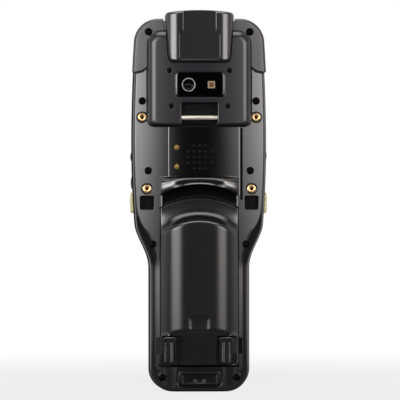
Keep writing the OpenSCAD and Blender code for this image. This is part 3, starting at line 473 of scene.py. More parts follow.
def pit(outline, floor, lip=0.3, level=back_level, into=1, above=2.0):
    """A cutter for a recess: straight walls, and a mouth rounded by the lip at the surface level.
    It goes into +y from the back or into -y from the front."""
    def at(depth):
        return lambda x, z: level(x, z) + into * depth
    mouth = [(lip * (1 - math.sin(a)), at(lip * (1 - math.cos(a)))) for a in np.radians([0, 30, 60, 90])]
    return loft(rings_y(divided(outline), [(lip, at(-above))] + mouth + [(0.0, floor)]))


def prism(outline, y0, y1):
    """An outline in x and z, straight from y0 to y1."""
    return loft(rings_y(outline, [(0, y0), (0, y1)]))


def box(x0, x1, y0, y1, z0, z1):
    """A plain block, for cutting and for hidden walls."""
    return loft([[(x, y, z) for x, z in ((x0, z0), (x1, z0), (x1, z1), (x0, z1))] for y in (y0, y1)])


def along_x(outline, steps):
    """A solid along x from an outline in y and z: each step is a growth and an x."""
    rings = []
    for grow, x in steps:
        yz = outline(grow)
        rings.append(np.column_stack([np.full(len(yz), float(x)), yz]))
    return loft(rings)


def hoops(profile, x, z, n):
    """Rings round an axis along y: each step of the profile is a radius and a y."""
    a = np.linspace(0, 2 * math.pi, n, endpoint=False)
    return [np.column_stack([x + r * np.cos(a), np.full(n, y), z + r * np.sin(a)]) for r, y in profile]


def lathe(profile, x, z, n=40):
    """A closed profile of radius and y, turned about an axis along y."""
    return tube(hoops(profile, x, z, n))


def turned(profile, x, z, n=40):
    """An open profile of radius and y, from end to end, turned about an axis along y."""
    return loft(hoops(profile, x, z, n))


def rings_to_middle(outline, level, count, inset=0.0):
    """Rings of an outline that shrink to its middle on a level."""
    edge = outline(-inset)
    middle = edge.mean(0)
    return [on_level(middle + share * (edge - middle), level) for share in np.linspace(1, 0.03, count)]


def mirrored(solid):
    """The solid's mirror image across x = 0, still facing outwards."""
    return solid[0] * (-1, 1, 1), [f[:, ::-1] for f in solid[1]]


def both(solid):
    """The solid and its mirror image."""
    return joined(solid, mirrored(solid))


def on_side(solid, side):
    """The solid itself for the right side, or its mirror image for the left."""
    return solid if side > 0 else mirrored(solid)


def quarter(inset, depth, n=8):
    """Steps of a rounded edge, from its deep end: an inset and the depth left, on an ellipse."""
    a = np.radians(np.linspace(0, 90, n))
    return [(inset * (1 - math.cos(t)), depth * (1 - math.sin(t))) for t in a]


# ---------- objects ----------

def raw_object(name, solid):
    """A mesh object from a solid, still in mm."""
    points, faces = solid
    mesh = bpy.data.meshes.new(name)
    mesh.vertices.add(len(points))
    mesh.vertices.foreach_set("co", np.asarray(points, np.float32).ravel())
    sizes = np.concatenate([np.full(len(f), f.shape[1]) for f in faces])
    mesh.loops.add(int(sizes.sum()))
    mesh.loops.foreach_set("vertex_index", np.concatenate([f.ravel() for f in faces]).astype(np.int32))
    mesh.polygons.add(len(sizes))
    mesh.polygons.foreach_set("loop_start", (np.cumsum(sizes) - sizes).astype(np.int32))
    mesh.update(calc_edges=True)
    item = bpy.data.objects.new(name, mesh)
    bpy.context.scene.collection.objects.link(item)
    return item


def gathered(items, key, width=3, kind=np.float32):
    """One attribute of all of a mesh's points, faces or corners as an array."""
    values = np.empty(width * len(items), kind)
    items.foreach_get(key, values)
    values = values.astype(float if kind is np.float32 else int)
    return values.reshape(-1, width) if width > 1 else values


def evaluated(item):
    """The object's mesh with its modifiers worked out."""
    bpy.context.view_layer.update()
    return bpy.data.meshes.new_from_object(item.evaluated_get(bpy.context.evaluated_depsgraph_get()))


def carve(item, tools, operation="DIFFERENCE"):
    """Cuts, joins or intersects the object with tools that don't overlap each other."""
    tool = raw_object("tool", joined(*tools))
    before = len(item.data.polygons)
    for solver in ("MANIFOLD", "EXACT"):
        change = item.modifiers.new("carve", "BOOLEAN")
        change.operation, change.solver, change.object = operation, solver, tool
        mesh = evaluated(item)
        item.modifiers.clear()
        if len(mesh.polygons) not in (0, before):
            break
        print("carve:", item.name, solver, "left", len(mesh.polygons), "faces")
    old, item.data = item.data, mesh
    bpy.data.meshes.remove(old)
    old = tool.data
    bpy.data.objects.remove(tool)
    bpy.data.meshes.remove(old)


def skin_normals(mesh, co, level):
    """Normals of the faces that lie on a level surface, worked out from the surface's slopes, so
    that cuts through the mesh leave no trace in its gloss. The rest stay zero, which means their own."""
    def slopes(x, z, d=0.05):
        n = np.column_stack([level(x + d, z) - level(x - d, z), np.full(len(x), -2 * d),
                             level(x, z + d) - level(x, z - d)])
        return n / np.linalg.norm(n, axis=1)[:, None]

    def close(x, y, z):
        return np.abs(y - level(x, z)) < 0.03
    x, y, z = gathered(mesh.polygons, "center").T
    on = close(x, y, z) & ((gathered(mesh.polygons, "normal") * slopes(x, z)).sum(1) > 0.985)
    x, y, z = co[gathered(mesh.loops, "vertex_index", 1, np.int32)].T
    near = np.repeat(on, gathered(mesh.polygons, "loop_total", 1, np.int32)) & close(x, y, z)
    return slopes(x, z) * near[:, None]


def settle(item, slot, nodes=(), body="housing", sharp=38.0, looks=None, own=None, level=None):
    """Puts a piece in place in the frame, and gives it its shading, finishes and body. Its finish
    is its slot's unless looks names others, and own says which of them each face has. Faces on a
    level surface take their normals from it."""
    mesh = item.data
    co = gathered(mesh.vertices, "co")
    normals = skin_normals(mesh, co, level) if level else None
    mesh.vertices.foreach_set("co", ((co + (0, PART_Y, 0)) * MM).astype(np.float32).ravel())
    mesh.materials.clear()
    for name in looks or [slot]:
        mesh.materials.append(look(name))
    if own is not None:
        mesh.polygons.foreach_set("material_index", own)
    mesh.shade_smooth()
    mesh.set_sharp_from_angle(angle=math.radians(sharp))
    if level:
        mesh.normals_split_custom_set(normals.tolist())
    mesh.update()
    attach(item, body)
    if nodes:
        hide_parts(*nodes)


def piece(name, solid, slot, nodes=(), **more):
    """A finished piece straight from a solid."""
    settle(raw_object(name, solid), slot, nodes, **more)


# ---------- finishes ----------

def add(tree, kind, *values, **settings):
    """A new node with its settings and the values of its first inputs."""
    item = tree.nodes.new(kind)
    for key, value in settings.items():
        setattr(item, key, value)
    for socket, value in zip(item.inputs, values):
        put(tree, socket, value)
    return item


def put(tree, socket, value):
    """Sets an input, or links it when the value is an output."""
    if isinstance(value, bpy.types.NodeSocket):
        tree.links.new(value, socket)
    elif value is not None:
        socket.default_value = value


def math_node(tree, operation, a, b=None, clamp=False):
    """The output of a Math node."""
    return add(tree, "ShaderNodeMath", a, b, operation=operation, use_clamp=clamp).outputs[0]


def times(tree, *values):
    """The product of outputs and numbers."""
    result = values[0]
    for value in values[1:]:
        result = math_node(tree, "MULTIPLY", result, value)
    return result


def mix_colour(tree, factor, a, b, blend="MIX"):
    """The output of a colour Mix node."""
    item = tree.nodes.new("ShaderNodeMix")
    item.data_type, item.blend_type = "RGBA", blend
    put(tree, item.inputs["Factor"], factor)
    put(tree, item.inputs[6], a)
    put(tree, item.inputs[7], b)
    return item.outputs[2]


def noise(tree, vector, scale, detail=3.0, rough=0.55):
    """The value of a Noise texture."""
    item = tree.nodes.new("ShaderNodeTexNoise")
    for key, value in (("Vector", vector), ("Scale", scale), ("Detail", detail), ("Roughness", rough)):
        put(tree, item.inputs[key], value)
    return item.outputs[0]


def new_group(name, inputs, outputs):
    """An empty shader group with named inputs and outputs; returns it with both its ends."""
    tree = bpy.data.node_groups.new(name, "ShaderNodeTree")
    kinds = {"value": "NodeSocketFloat", "vector": "NodeSocketVector", "colour": "NodeSocketColor"}
    for label, kind in inputs:
        tree.interface.new_socket(name=label, in_out="INPUT", socket_type=kinds[kind])
    for label, kind in outputs:
        tree.interface.new_socket(name=label, in_out="OUTPUT", socket_type=kinds[kind])
    return tree, tree.nodes.new("NodeGroupInput").outputs, tree.nodes.new("NodeGroupOutput").inputs


def grain_group():
    """Moulded grain: two sizes of noise added up to a height, and the finer one as a mask."""
    tree, given, result = new_group("Moulded grain", [("Place", "vector"), ("Fineness", "value")],
                                    [("Height", "value"), ("Speckle", "value")])
    fine = noise(tree, given["Place"], given["Fineness"], 2.0, 0.5)
    wide = noise(tree, given["Place"], times(tree, given["Fineness"], 0.18), 2.0, 0.6)
    put(tree, result["Height"], math_node(tree, "ADD", fine, times(tree, wide, 0.6)))
    put(tree, result["Speckle"], fine)
    return tree


def drift_group():
    """Slow drift of a colour: wide clouds of noise lighten and darken it by an amount."""
    tree, given, result = new_group(
        "Tone drift", [("Place", "vector"), ("Colour", "colour"), ("Amount", "value")],
        [("Colour", "colour"), ("Clouds", "value")])
    clouds = noise(tree, given["Place"], 26.0, 3.0, 0.6)
    swing = times(tree, math_node(tree, "SUBTRACT", clouds, 0.5), given["Amount"], 2.0)
    level = math_node(tree, "ADD", 1.0, swing)
    item = add(tree, "ShaderNodeCombineColor", level, level, level)
    put(tree, result["Colour"], mix_colour(tree, 1.0, given["Colour"], item.outputs[0], "MULTIPLY"))
    put(tree, result["Clouds"], clouds)
    return tree


def wear_group():
    """Edge wear: where the rounded normal leaves the surface's own, broken up by noise, the colour
    turns to the worn one."""
    tree, given, result = new_group(
        "Edge wear", [("Place", "vector"), ("Colour", "colour"), ("Worn", "colour"), ("Reach", "value"),
                      ("Amount", "value")], [("Colour", "colour"), ("Mask", "value")])
    bevel = add(tree, "ShaderNodeBevel", given["Reach"], samples=4)
    own = tree.nodes.new("ShaderNodeNewGeometry").outputs["Normal"]
    dot = add(tree, "ShaderNodeVectorMath", bevel.outputs[0], own, operation="DOT_PRODUCT").outputs["Value"]
    bend = math_node(tree, "MULTIPLY", math_node(tree, "SUBTRACT", 1.0, dot), 7.0, True)
    patch = math_node(tree, "MULTIPLY", noise(tree, given["Place"], 240.0, 4.0, 0.65), 1.7, True)
    mask = math_node(tree, "MULTIPLY", times(tree, bend, patch), given["Amount"], True)
    put(tree, result["Colour"], mix_colour(tree, mask, given["Colour"], given["Worn"]))
    put(tree, result["Mask"], mask)
    return tree


def marks_group():
    """Marks of handling: smears and fine scratches that move the roughness about its middle."""
    tree, given, result = new_group("Handling marks", [("Place", "vector"), ("Middle", "value"),
                                                       ("Swing", "value")], [("Roughness", "value")])
    stretch = add(tree, "ShaderNodeVectorMath", given["Place"], (1.0, 1.0, 0.22), operation="MULTIPLY")
    smear = noise(tree, stretch.outputs[0], 70.0, 4.0, 0.7)
    swing = times(tree, math_node(tree, "SUBTRACT", smear, 0.5), given["Swing"])
    put(tree, result["Roughness"], math_node(tree, "ADD", given["Middle"], swing, True))
    return tree


GROUPS = {"grain": grain_group, "drift": drift_group, "wear": wear_group, "marks": marks_group}
FINISHES = {}


def use_group(tree, key, **values):
    """A shared group placed in a material with its own values; spaces in names are underscores."""
    if callable(GROUPS[key]):
        GROUPS[key] = GROUPS[key]()
    item = tree.nodes.new("ShaderNodeGroup")
    item.node_tree = GROUPS[key]
    for label, value in values.items():
        put(tree, item.inputs[label], value)
    return item.outputs


def rgba(c):
    """A colour with full cover."""
    return (*tuple(c)[:3], 1.0)


def finish(name, base, rough=0.4, swing=0.1, fineness=2600.0, relief=0.02, drift=0.12, wear=0.25,
           worn=None, reach=0.0004, **shader):
    """A procedural finish: drifting colour, worn edges, smears in the gloss and a moulded grain.
    What is the same all over is set on the shader's own sockets."""
    material = bpy.data.materials.new(name)
    material.use_nodes = True
    tree = material.node_tree
    surface = tree.nodes["Principled BSDF"]
    place = tree.nodes.new("ShaderNodeTexCoord").outputs["Object"]
    shade = use_group(tree, "drift", Place=place, Colour=rgba(base), Amount=drift)["Colour"]
    if wear:
        worn = worn or tuple(min(1.0, 2.2 * c + 0.02) for c in tuple(base)[:3])
        shade = use_group(tree, "wear", Place=place, Colour=shade, Worn=rgba(worn), Reach=reach,
                          Amount=wear)["Colour"]
    if name in MASKS:
        mask, other = MASKS[name](tree, place)
        shade = mix_colour(tree, mask, shade, rgba(other))
    put(tree, surface.inputs["Base Color"], shade)
    put(tree, surface.inputs["Roughness"],
        use_group(tree, "marks", Place=place, Middle=rough, Swing=swing)["Roughness"])
    if relief:
        bump = tree.nodes.new("ShaderNodeBump")
        bump.inputs["Strength"].default_value = 1.0
        bump.inputs["Distance"].default_value = relief * MM
        put(tree, bump.inputs["Height"], use_group(tree, "grain", Place=place, Fineness=fineness)["Height"])
        put(tree, surface.inputs["Normal"], bump.outputs[0])
    for label, value in shader.items():
        surface.inputs[label.replace("_", " ")].default_value = value
    return material


def board_pads(tree, place):
    """Pads of a circuit board, in the middles of square cells: a mask and the pads' colour."""
    cells = tree.nodes.new("ShaderNodeTexVoronoi")
    cells.distance = "CHEBYCHEV"
    put(tree, cells.inputs["Vector"], place)
    put(tree, cells.inputs["Scale"], 420.0)
    return math_node(tree, "LESS_THAN", cells.outputs["Distance"], 0.16), (0.72, 0.56, 0.24)


def live_area(tree, place):
    """The display's live area, a rectangle marked off by its place: a mask and its colour."""
    axes = add(tree, "ShaderNodeSeparateXYZ", place).outputs
    across = math_node(tree, "LESS_THAN", math_node(tree, "ABSOLUTE", axes["X"]), 24.6 * MM)
    off = math_node(tree, "ABSOLUTE", math_node(tree, "SUBTRACT", axes["Z"], 144.6 * MM))
    return times(tree, across, math_node(tree, "LESS_THAN", off, 34.2 * MM)), (0.017, 0.020, 0.024)


MASKS = {"board_green": board_pads, "display_glass": live_area}


def metal(base, rough, share=1.0):
    """Values of a metal's finish; one with a share below 1 is painted or satin."""
    return base, dict(rough=rough, swing=0.14, fineness=5200.0, relief=0.003, drift=0.1, wear=0.3,
                      worn=tuple(0.55 * c for c in tuple(base)[:3]), reach=0.00025, Metallic=share)


def look(name):
    """The finish of that name, made when it is first asked for."""
    if name in FINISHES:
        return FINISHES[name]
    given = bpy.context.scene.terminal_finish

    def gloss(level, **more):
        return dict(Specular_IOR_Level=level, **more)
    plain = dict(relief=0, wear=0)
    table = {
        "housing_plastic": (given.housing, gloss(0.8, rough=0.11, swing=0.03, relief=0.001)),
        # Near-black, dull finish for faces deep in hollows and under the finger rest's crest: painted shade.
        "painted_recess_shade": ((0.002, 0.002, 0.002), gloss(0.15, rough=0.3, **plain)),
        "front_plastic": (given.front, gloss(0.12, rough=0.5, relief=0.012)),
        "bumper_rubber": (given.bumper, gloss(0.7, rough=0.34, relief=0.01, fineness=2200.0)),
        "rest_plastic": (given.rest, gloss(1.0, rough=0.14, swing=0.03, relief=0.001)),
        "module_plastic": (given.module, dict(rough=0.2, swing=0.04, relief=0.002)),
        "hood_plastic": (given.hood, gloss(0.8, rough=0.18, swing=0.04, relief=0.002)),
        "pack_plastic": (given.pack, gloss(0.64, rough=0.2, swing=0.04, relief=0.002)),
        "lock_plastic": (given.pack, gloss(1.0, rough=0.22, swing=0.05, relief=0.002)),
        "cover_rubber": (given.cover, gloss(0.25, rough=0.22, swing=0.04, relief=0.002)),
        "trigger_yellow": (given.trigger, dict(rough=0.42, relief=0.008, wear=0.1)),
        "key_rubber": ((0.022, 0.022, 0.024), dict(rough=0.48, relief=0.012)),
        "nav_grey": ((0.09, 0.09, 0.095), dict(rough=0.35, relief=0.006)),
        # Rubber of the housing seal; also the dull black of the sheets in the sockets and groove, which is
        # painted shade.
        "seal_rubber": ((0.004, 0.004, 0.004), gloss(0.15, rough=0.26, swing=0.05, relief=0.002, wear=0)),
        "inner_dark": ((0.012, 0.012, 0.013), dict(rough=0.55, relief=0.01, wear=0)),
        "mat_rubber": ((0.32, 0.32, 0.34), dict(rough=0.6, relief=0.02, wear=0)),
        "engine_black": ((0.014, 0.014, 0.015), dict(rough=0.5, relief=0.02, wear=0)),
        "cell_wrap": ((0.02, 0.06, 0.18), dict(rough=0.35, relief=0.004, wear=0.1)),
        "print": ((0.62, 0.62, 0.60), dict(rough=0.5, drift=0.05, **plain)),
        # Dark rings round the inserts: painted shade in their pits.
        "collar_painted_shade": ((0.006, 0.006, 0.007), dict(rough=0.35, relief=0.004)),
        # The wear mask gives the window's edges a pale grey: partly wear, partly a painted highlight along
        # its rim.
        "window_black": ((0.0012, 0.0012, 0.0015), dict(rough=0.08, swing=0.04, relief=0, wear=0.5,
                                                       worn=(0.35, 0.35, 0.36), reach=0.0002)),
        "lens_glass": ((0.002, 0.002, 0.003), gloss(0.15, rough=0.2, swing=0.02, **plain)),
        "scan_glass": ((0.10, 0.004, 0.006), dict(rough=0.06, swing=0.03, Transmission_Weight=0.35,
                                                 Coat_Weight=1.0, **plain)),
        "display_glass": ((0.003, 0.003, 0.0035), dict(rough=0.06, swing=0.05, Coat_Weight=1.0,
                                                      Coat_Roughness=0.02, **plain)),
        "flash_frame": ((0.46, 0.33, 0.22), dict(rough=0.4, **plain)),
        "flash_amber": ((0.13, 0.062, 0.028), dict(rough=0.25, **plain)),
        "board_green": ((0.012, 0.10, 0.045), dict(rough=0.38, relief=0.01, wear=0)),
        "steel_bright": metal((0.58, 0.55, 0.48), 0.4, 0.5),
        "ring_silver": metal((0.50, 0.50, 0.49), 0.4, 0.2),
        "brass": metal(given.brass, 0.26),
        "contact_gold": metal((0.30, 0.215, 0.065), 0.36),
        "inner_steel": metal((0.52, 0.53, 0.55), 0.34),
        "screw_black": metal((0.008, 0.008, 0.009), 0.3),
    }
    base, more = table[name]
    FINISHES[name] = finish(name, base, **more)
    return FINISHES[name]


# ---------- building steps ----------

class BuildStep:
    """What every building step has in common: it runs its build and finishes, or raises."""
    bl_options = {"REGISTER", "UNDO"}

    def execute(self, context):
        self.build(context.scene)
        return {"FINISHED"}


def rear_form(extra=0.0, grow=0.0):
    """Outer form of the rear half: an outline whose edge is rounded back to a crowned face and
    whose flank is drawn in towards the parting plane."""
    steps = quarter(6.4, 3.6, 12)[::-1]
    halves = [body_half(REAR_MARGIN - grow, edge=inset) for inset, _ in steps]
    levels = [lambda x, z, d=depth: back_level(x, z) - extra + d * (0.3 + 0.7 * edge_share(z))
              for _, depth in steps]
    return pillow(halves + [body_half(REAR_MARGIN - grow + UNDERCUT)], levels + [flat(0)], BACK_COLUMNS)


def recessed(mesh):
    """Which faces lie in the back's wells, grooves and pockets: 1 there and 0 elsewhere. These faces take a
    near-black, dull finish that is painted shade in the hollows.
    """
    x, y, z = gathered(mesh.polygons, "center").T
    inside = np.abs(x) < half_width(z) - REAR_MARGIN - np.where(z < 96, 6.6, 3.2)
    floor = gathered(mesh.polygons, "normal")[:, 1] < -0.97
    return ((y - back_level(x, z) > 0.45) & (inside | floor)).astype(np.int32)


class TERMINAL_OT_rear_shell(BuildStep, bpy.types.Operator):
    """Rear half of the casing, with its bay, wells, sockets, recesses and sound holes"""
    bl_idname = "terminal.rear_shell"
    bl_label = "Rear shell"

    def build(self, scene):
        lip = scene.terminal_casing.lip / MM
        shell = raw_object("rear_shell", rear_form())
        inner = [(1.4, 0.0), (0.3, 1.0), (0.0, 2.4)]
        halves = [body_half(REAR_MARGIN, WALL + inset) for inset, _ in inner] + [body_half(REAR_MARGIN, WALL)]
        levels = [sunk_by(WALL + depth) for _, depth in inner] + [flat(1)]
        carve(shell, [pillow(halves, levels, INNER_COLUMNS)])
        self.add_inner_walls(shell)
        socket = centred(SOCKET_X, SOCKET_Z, SOCKET_HALF, SOCKET_HALF, 1.0)
        carve(shell, self.recesses(lip) + [both(pit(socket, -7, lip))])
        foot = divided(round_rect(*MODULE_FOOT), 1.5)
        moat = [(0.8, CLEAR_Y), (0.8, -13.9), (0.7, sunk_by(0.1)), (0.6, sunk_by(1.3)), (-0.4, sunk_by(1.3)),
                (-0.4, CLEAR_Y)]
        carve(shell, [tube(rings_y(foot, moat))])
        seam = np.array(CAP_SEAM)
        carve(shell, [both(loft(rings_y(lambda grow: seam, [(0, CLEAR_Y), (0, sunk_by(1.2))])))])
        carve(shell, self.openings())
        # Faces deep in the wells, grooves and pockets get the near-black finish: painted shade.
        settle(shell, "housing_plastic", ["rear_housing"], looks=["housing_plastic", "painted_recess_shade"],
               own=recessed(shell.data), level=back_level)
        beads = [loft([[(x, float(back_level(x, 125)) + rise, z) for x, rise in rib] for z in (z0, z1)])
                 for z0, z1, rib in RIBS]
        piece("panel_beads", joined(*beads), "housing_plastic")
        # Dull black sheets on the sockets' floors and behind the side groove: painted shade in those hollows.
        groove = prism(round_rect(*GROOVE_SHADE_SHEET), -10.1, -9.9)
        piece("socket_shade_sheets", joined(both(prism(socket, -7.4, -7.05)), groove), "seal_rubber")

    def add_inner_walls(self, shell):
        """Adds the walls of the bay, sockets, port and strap recess, and the screws' posts."""
        bay = [(PACK_GAP + BAY_WALL, STRIP_Y + 1.4), (PACK_GAP + BAY_WALL, BAY_Y + BAY_WALL)]
        carve(shell, [loft(rings_y(arched, bay)),
                      both(box(*SOCKET_WALL)),
                      box(*PORT_WALL),
                      box(*STRAP_WALL)], "UNION")
        posts = [(3.0, x, z, 0.0) for x, z in SIDE_SCREWS] + [(2.6, *BUMPER_SCREW, 0.0)]
        posts += [(3.3, x, z, -5.5) for x, z in INSERTS]
        carve(shell, [both(turned([(r, float(back_level(x, z)) + 1.3), (r, end)], x, z, 24))
                      for r, x, z, end in posts] + [box(*HOOK_WALL)], "UNION")

    def recesses(self, lip):
        """Cutters for what is sunk into the back, and for the hollows under module and hood."""
        wells = [both(pit(circle(x, z, 1.95), sunk_by(2.7), 0.1)) for x, z in SIDE_SCREWS]
        wells.append(both(pit(circle(*BUMPER_SCREW, 2.1), sunk_by(2.7), 0.1, above=6)))
        wells += [both(pit(circle(x, z, COLLAR_R), sunk_by(1.0), 0.2)) for x, z in INSERTS]
        label = divided(round_rect(*LABEL))
        edge = [(0.16, CLEAR_Y), (0.16, sunk_by(0.2)), (-0.16, sunk_by(0.2)), (-0.16, CLEAR_Y)]
        return wells + [
            tube(rings_y(label, edge)),
            pit(round_rect(*SIDE_GROOVE), sunk_by(1.9), 0.03),
            pit(round_rect(*PORT_SEAT), -14.2, 0.3),
            box(*STRAP_RECESS),
            pit(arched, BAY_Y, lip),
            box(*MODULE_HOLLOW),
            box(*HOOD_HOLLOW)]

    def openings(self):
        """Cutters for the sound holes, screw holes, bores, slots and pin holes."""
        sound = [(0.95, -16), (0.95, STRIP_Y - 0.02), (0.62, STRIP_Y + 0.3), (0.6, -9)]
        steps, r = range(-2, 3), INSERT_R + 0.05
        return ([turned(sound, HOLE_STEP * i, SPEAKER_Z + HOLE_STEP * j, 14)
                 for i in steps for j in steps if i * i + j * j < 6]
                + [both(turned([(1.2, -10.5), (1.2, 1)], x, z, 20)) for x, z in SIDE_SCREWS + (BUMPER_SCREW,)]
                + [both(turned([(r, -14), (r, INSERT_END_Y)], x, z, 32)) for x, z in INSERTS]
                + [both(box(*LOCK_SLOT)),
                   box(*FOOT_SLOT),
                   box(*HOOK_SLOT), box(*REAR_PORT)]
                + [turned([(1.37, -14), (1.37, -10)], PIN_X, z, 24) for z in PIN_ZS])


def key_places():
    """Every key of the keypad: its node, place, half sizes and corner radius."""
    names = ["key_" + mark for mark in (*"123456789", "clear", "0", "enter")]
    keys = [(name, KEY_STEP_X * (1 - i % 3), KEY_TOP_Z - KEY_STEP_Z * (i // 3), 5.25, 3.6, 1.2)
            for i, name in enumerate(names)]
    return keys + [("key_scan", 0.0, 73.5, 8.5, 3.8, 2.5), ("key_function_left", -16.4, 90.7, 3.8, 3.0, 1.2),
                   ("key_function_right", 16.4, 90.7, 3.8, 3.0, 1.2)]


# Each side button's name, side, z, half height, half depth, tip and corner radius.
BUTTONS = (("side_trigger_left", -1, 99.1, 5.5, 3.2, 36.4, 1.8),
           ("side_trigger_right", 1, 99.1, 5.5, 3.2, 36.4, 1.8),
           ("side_key_upper_left", -1, 123.4, 2.35, 2.0, 36.3, 1.3),
           ("side_key_lower_left", -1, 109.7, 3.4, 2.0, 36.0, 1.3),
           ("side_key_right", 1, 124.1, 2.6, 2.0, 36.3, 1.3))


class TERMINAL_OT_front_shell(BuildStep, bpy.types.Operator):
    """Front half of the casing, with its display pocket, keypad field and button holes"""
    bl_idname = "terminal.front_shell"
    bl_label = "Front shell"

    def build(self, scene):
        steps = quarter(3.0, 2.1)
        halves = [body_half(0.0)] + [body_half(0.6, inset) for inset, _ in steps]
        levels = [flat(0)] + [flat(FRONT_D - depth) for _, depth in steps]
        shell = raw_object("front_shell", pillow(halves, levels, BACK_COLUMNS))
        inner = [(0.0, -1.0), (0.0, 8.5), (1.4, 10.7)]
        halves = [body_half(0.0, WALL + inset) for inset, _ in inner]
        carve(shell, [pillow(halves, [flat(y) for _, y in inner], INNER_COLUMNS)])
        carve(shell, [box(*KEYPAD_WALL), box(*DISPLAY_WALL)]
              + [both(turned([(2.8, 0), (2.8, 4.5)], x, z, 24)) for x, z in SIDE_SCREWS], "UNION")
        carve(shell, [box(*NAV_WALL)], "UNION")
        bay, front, field_level = PACK_GAP + BAY_WALL + 0.1, flat(FRONT_D), flat(FIELD_Y)
        carve(shell, [loft(rings_y(arched, [(bay, -1), (bay, 3.2)])),
                      pit(round_rect(*KEY_FIELD), FIELD_Y, 0.5, front, -1),
                      pit(round_rect(*DISPLAY_SEAT), 10.6, 0.25, front, -1),
                      pit(round_rect(*EARPIECE), 8.5, 0.3, front, -1)])
        outlines = [centred(x, z, w + 0.35, h + 0.35, 1.5) for _, x, z, w, h, _ in key_places()]
        outlines.append(circle(0, NAV_Z, NAV_HOLE_R, 48))
        bore = [(0.25, 20), (0.25, 34), (0.45, 40)]
        carve(shell, [pit(outline, 3, 0.15, field_level, -1, 1) for outline in outlines]
              + [on_side(along_x(centred(BUTTON_Y, z, d, h, r), bore), side)
                 for _, side, z, h, d, _, r in BUTTONS]
              + [box(*DISPLAY_OPENING), box(*FRONT_PORT)])
        settle(shell, "front_plastic", ["front_housing"])


class TERMINAL_OT_bumpers(BuildStep, bpy.types.Operator):
    """Rubber caps over the two top corners"""
    bl_idname = "terminal.bumpers"
    bl_label = "Corner bumpers"

    def build(self, scene):
        caps = raw_object("corner_caps", rear_form(0.8, REAR_MARGIN + 0.45))
        zone = np.array(CAP_ZONE)
        carve(caps, [both(prism(lambda grow: zone, -30, 0))], "INTERSECT")
        carve(caps, [prism(round_rect(*CAP_LIMIT), -31, 1)])
        carve(caps, [rear_form()])
        hole = [(2.35, -19), (2.35, back_level(*BUMPER_SCREW) - 0.8), (2.0, -13.3), (2.0, 0.5)]
        carve(caps, [both(turned(hole, *BUMPER_SCREW, 32))])
        settle(caps, "bumper_rubber", ["corner_bumpers"])


def rest_height(x, z):
    """Height of the finger rest above the back. A concave scoop rises to the lower edge of the
    crest, which follows the pack's arch; the crest's upper edge is flatter, so that the crest
    widens to a broad dome at each end; it is slightly dished in the middle, and above it the
    ridge falls away round a quarter of an ellipse. A rim runs down each side of the scoop."""
    away = np.clip(np.abs(x) / PACK_HALF, 0, 1)
    foot, low = arch_z(x) + 0.45, CREST_Z - 1.5 - ARCH_DROP * away ** 2
    high, fall = CREST_Z + 1.0 - 2.6 * away ** 2, 1.7 + 2.2 * away ** 2
    scoop = np.clip((z - foot) / (low - foot), 0, 1) ** 2.6
    t = np.clip((2 * z - low - high) / (high - low), -1, 1)
    bulge = smooth((away - 0.25) / 0.6)
    dish = (1 - t * t) * (0.05 * bulge - 0.11 * (1 - bulge))
    above = np.sqrt(np.clip(1 - ((z - high) / fall) ** 2, 0, 1))
    above = above + (1 - np.clip((z - high) / fall, 0, 1) ** 2.2 - above) * bulge
    share = np.where(z < low, scoop, np.where(z < high, 1 + dish, above))
    top = CREST_RISE - 2.6 * away ** 3.5
    rim = smooth((away - 0.905) / 0.035) * (2.5 - 0.16 * np.clip((away - 0.93) / 0.07, 0, 1)) * (z < low)
    edge = np.sqrt(1 - np.clip((away - 0.975) / 0.025, 0, 1) ** 2)
    return 0.06 + np.maximum(top * share, rim) * edge


def softened(height, rounds):
    """A grid of heights with its creases rounded by a short average along both directions."""
    for _ in range(rounds):
        height[1:-1] = 0.25 * (height[:-2] + height[2:]) + 0.5 * height[1:-1]
        height[:, 1:-1] = 0.25 * (height[:, :-2] + height[:, 2:]) + 0.5 * height[:, 1:-1]
    return height


class TERMINAL_OT_finger_rest(BuildStep, bpy.types.Operator):
    """Arched ridge above the pack, under which the fingers rest"""
    bl_idname = "terminal.finger_rest"
    bl_label = "Finger rest"

    def build(self, scene):
        a = np.linspace(-1.42, 1.42, 181)
        x, t = np.meshgrid(PACK_HALF * np.sin(a) / math.sin(1.42), np.linspace(0, 1, 121))
        z = arch_z(x) + 0.45 + (CREST_Z + 2.9 - 0.3 * (x / PACK_HALF) ** 2 - arch_z(x) - 0.45) * t
        rise = softened(rest_height(x, z), 4)
        level = STRIP_Y + crown(x)
        ridge = raw_object("finger_ridge", field(x, z, level - rise, level + 0.3))
        x, _, z = gathered(ridge.data.polygons, "center").T
        # Faces of the scoop under the crest take the near-black finish: painted shade under the crest.
        under = (z < CREST_Z - 1.6 - ARCH_DROP * (x / PACK_HALF) ** 2) & (np.abs(x) < 0.92 * PACK_HALF)
        settle(ridge, "rest_plastic", ["finger_rest"], looks=["rest_plastic", "painted_recess_shade"],
               own=under.astype(np.int32))


def module_half(inset):
    """Right half of the camera module's outline."""
    w, r = MODULE_HALF - inset, max(7 - inset, 1.5)
    z0, z1 = MODULE_Z0 + inset / 3, MODULE_Z1 - inset
    low = arc(w - 1.6, z0 + 1.6, 1.6, -90, 0, 7)
    side = np.column_stack([np.full(24, w), np.linspace(z0 + 1.6, z1 - r, 26)[1:-1]])
    return np.concatenate([low, side, arc(w - r, z1 - r, r, 0, 90, 12)])


def module_level(x, z):
    """Level of the module's face: it falls with the square of the distance from its middle."""
    return MODULE_Y + 1.1 * (x / MODULE_HALF) ** 2


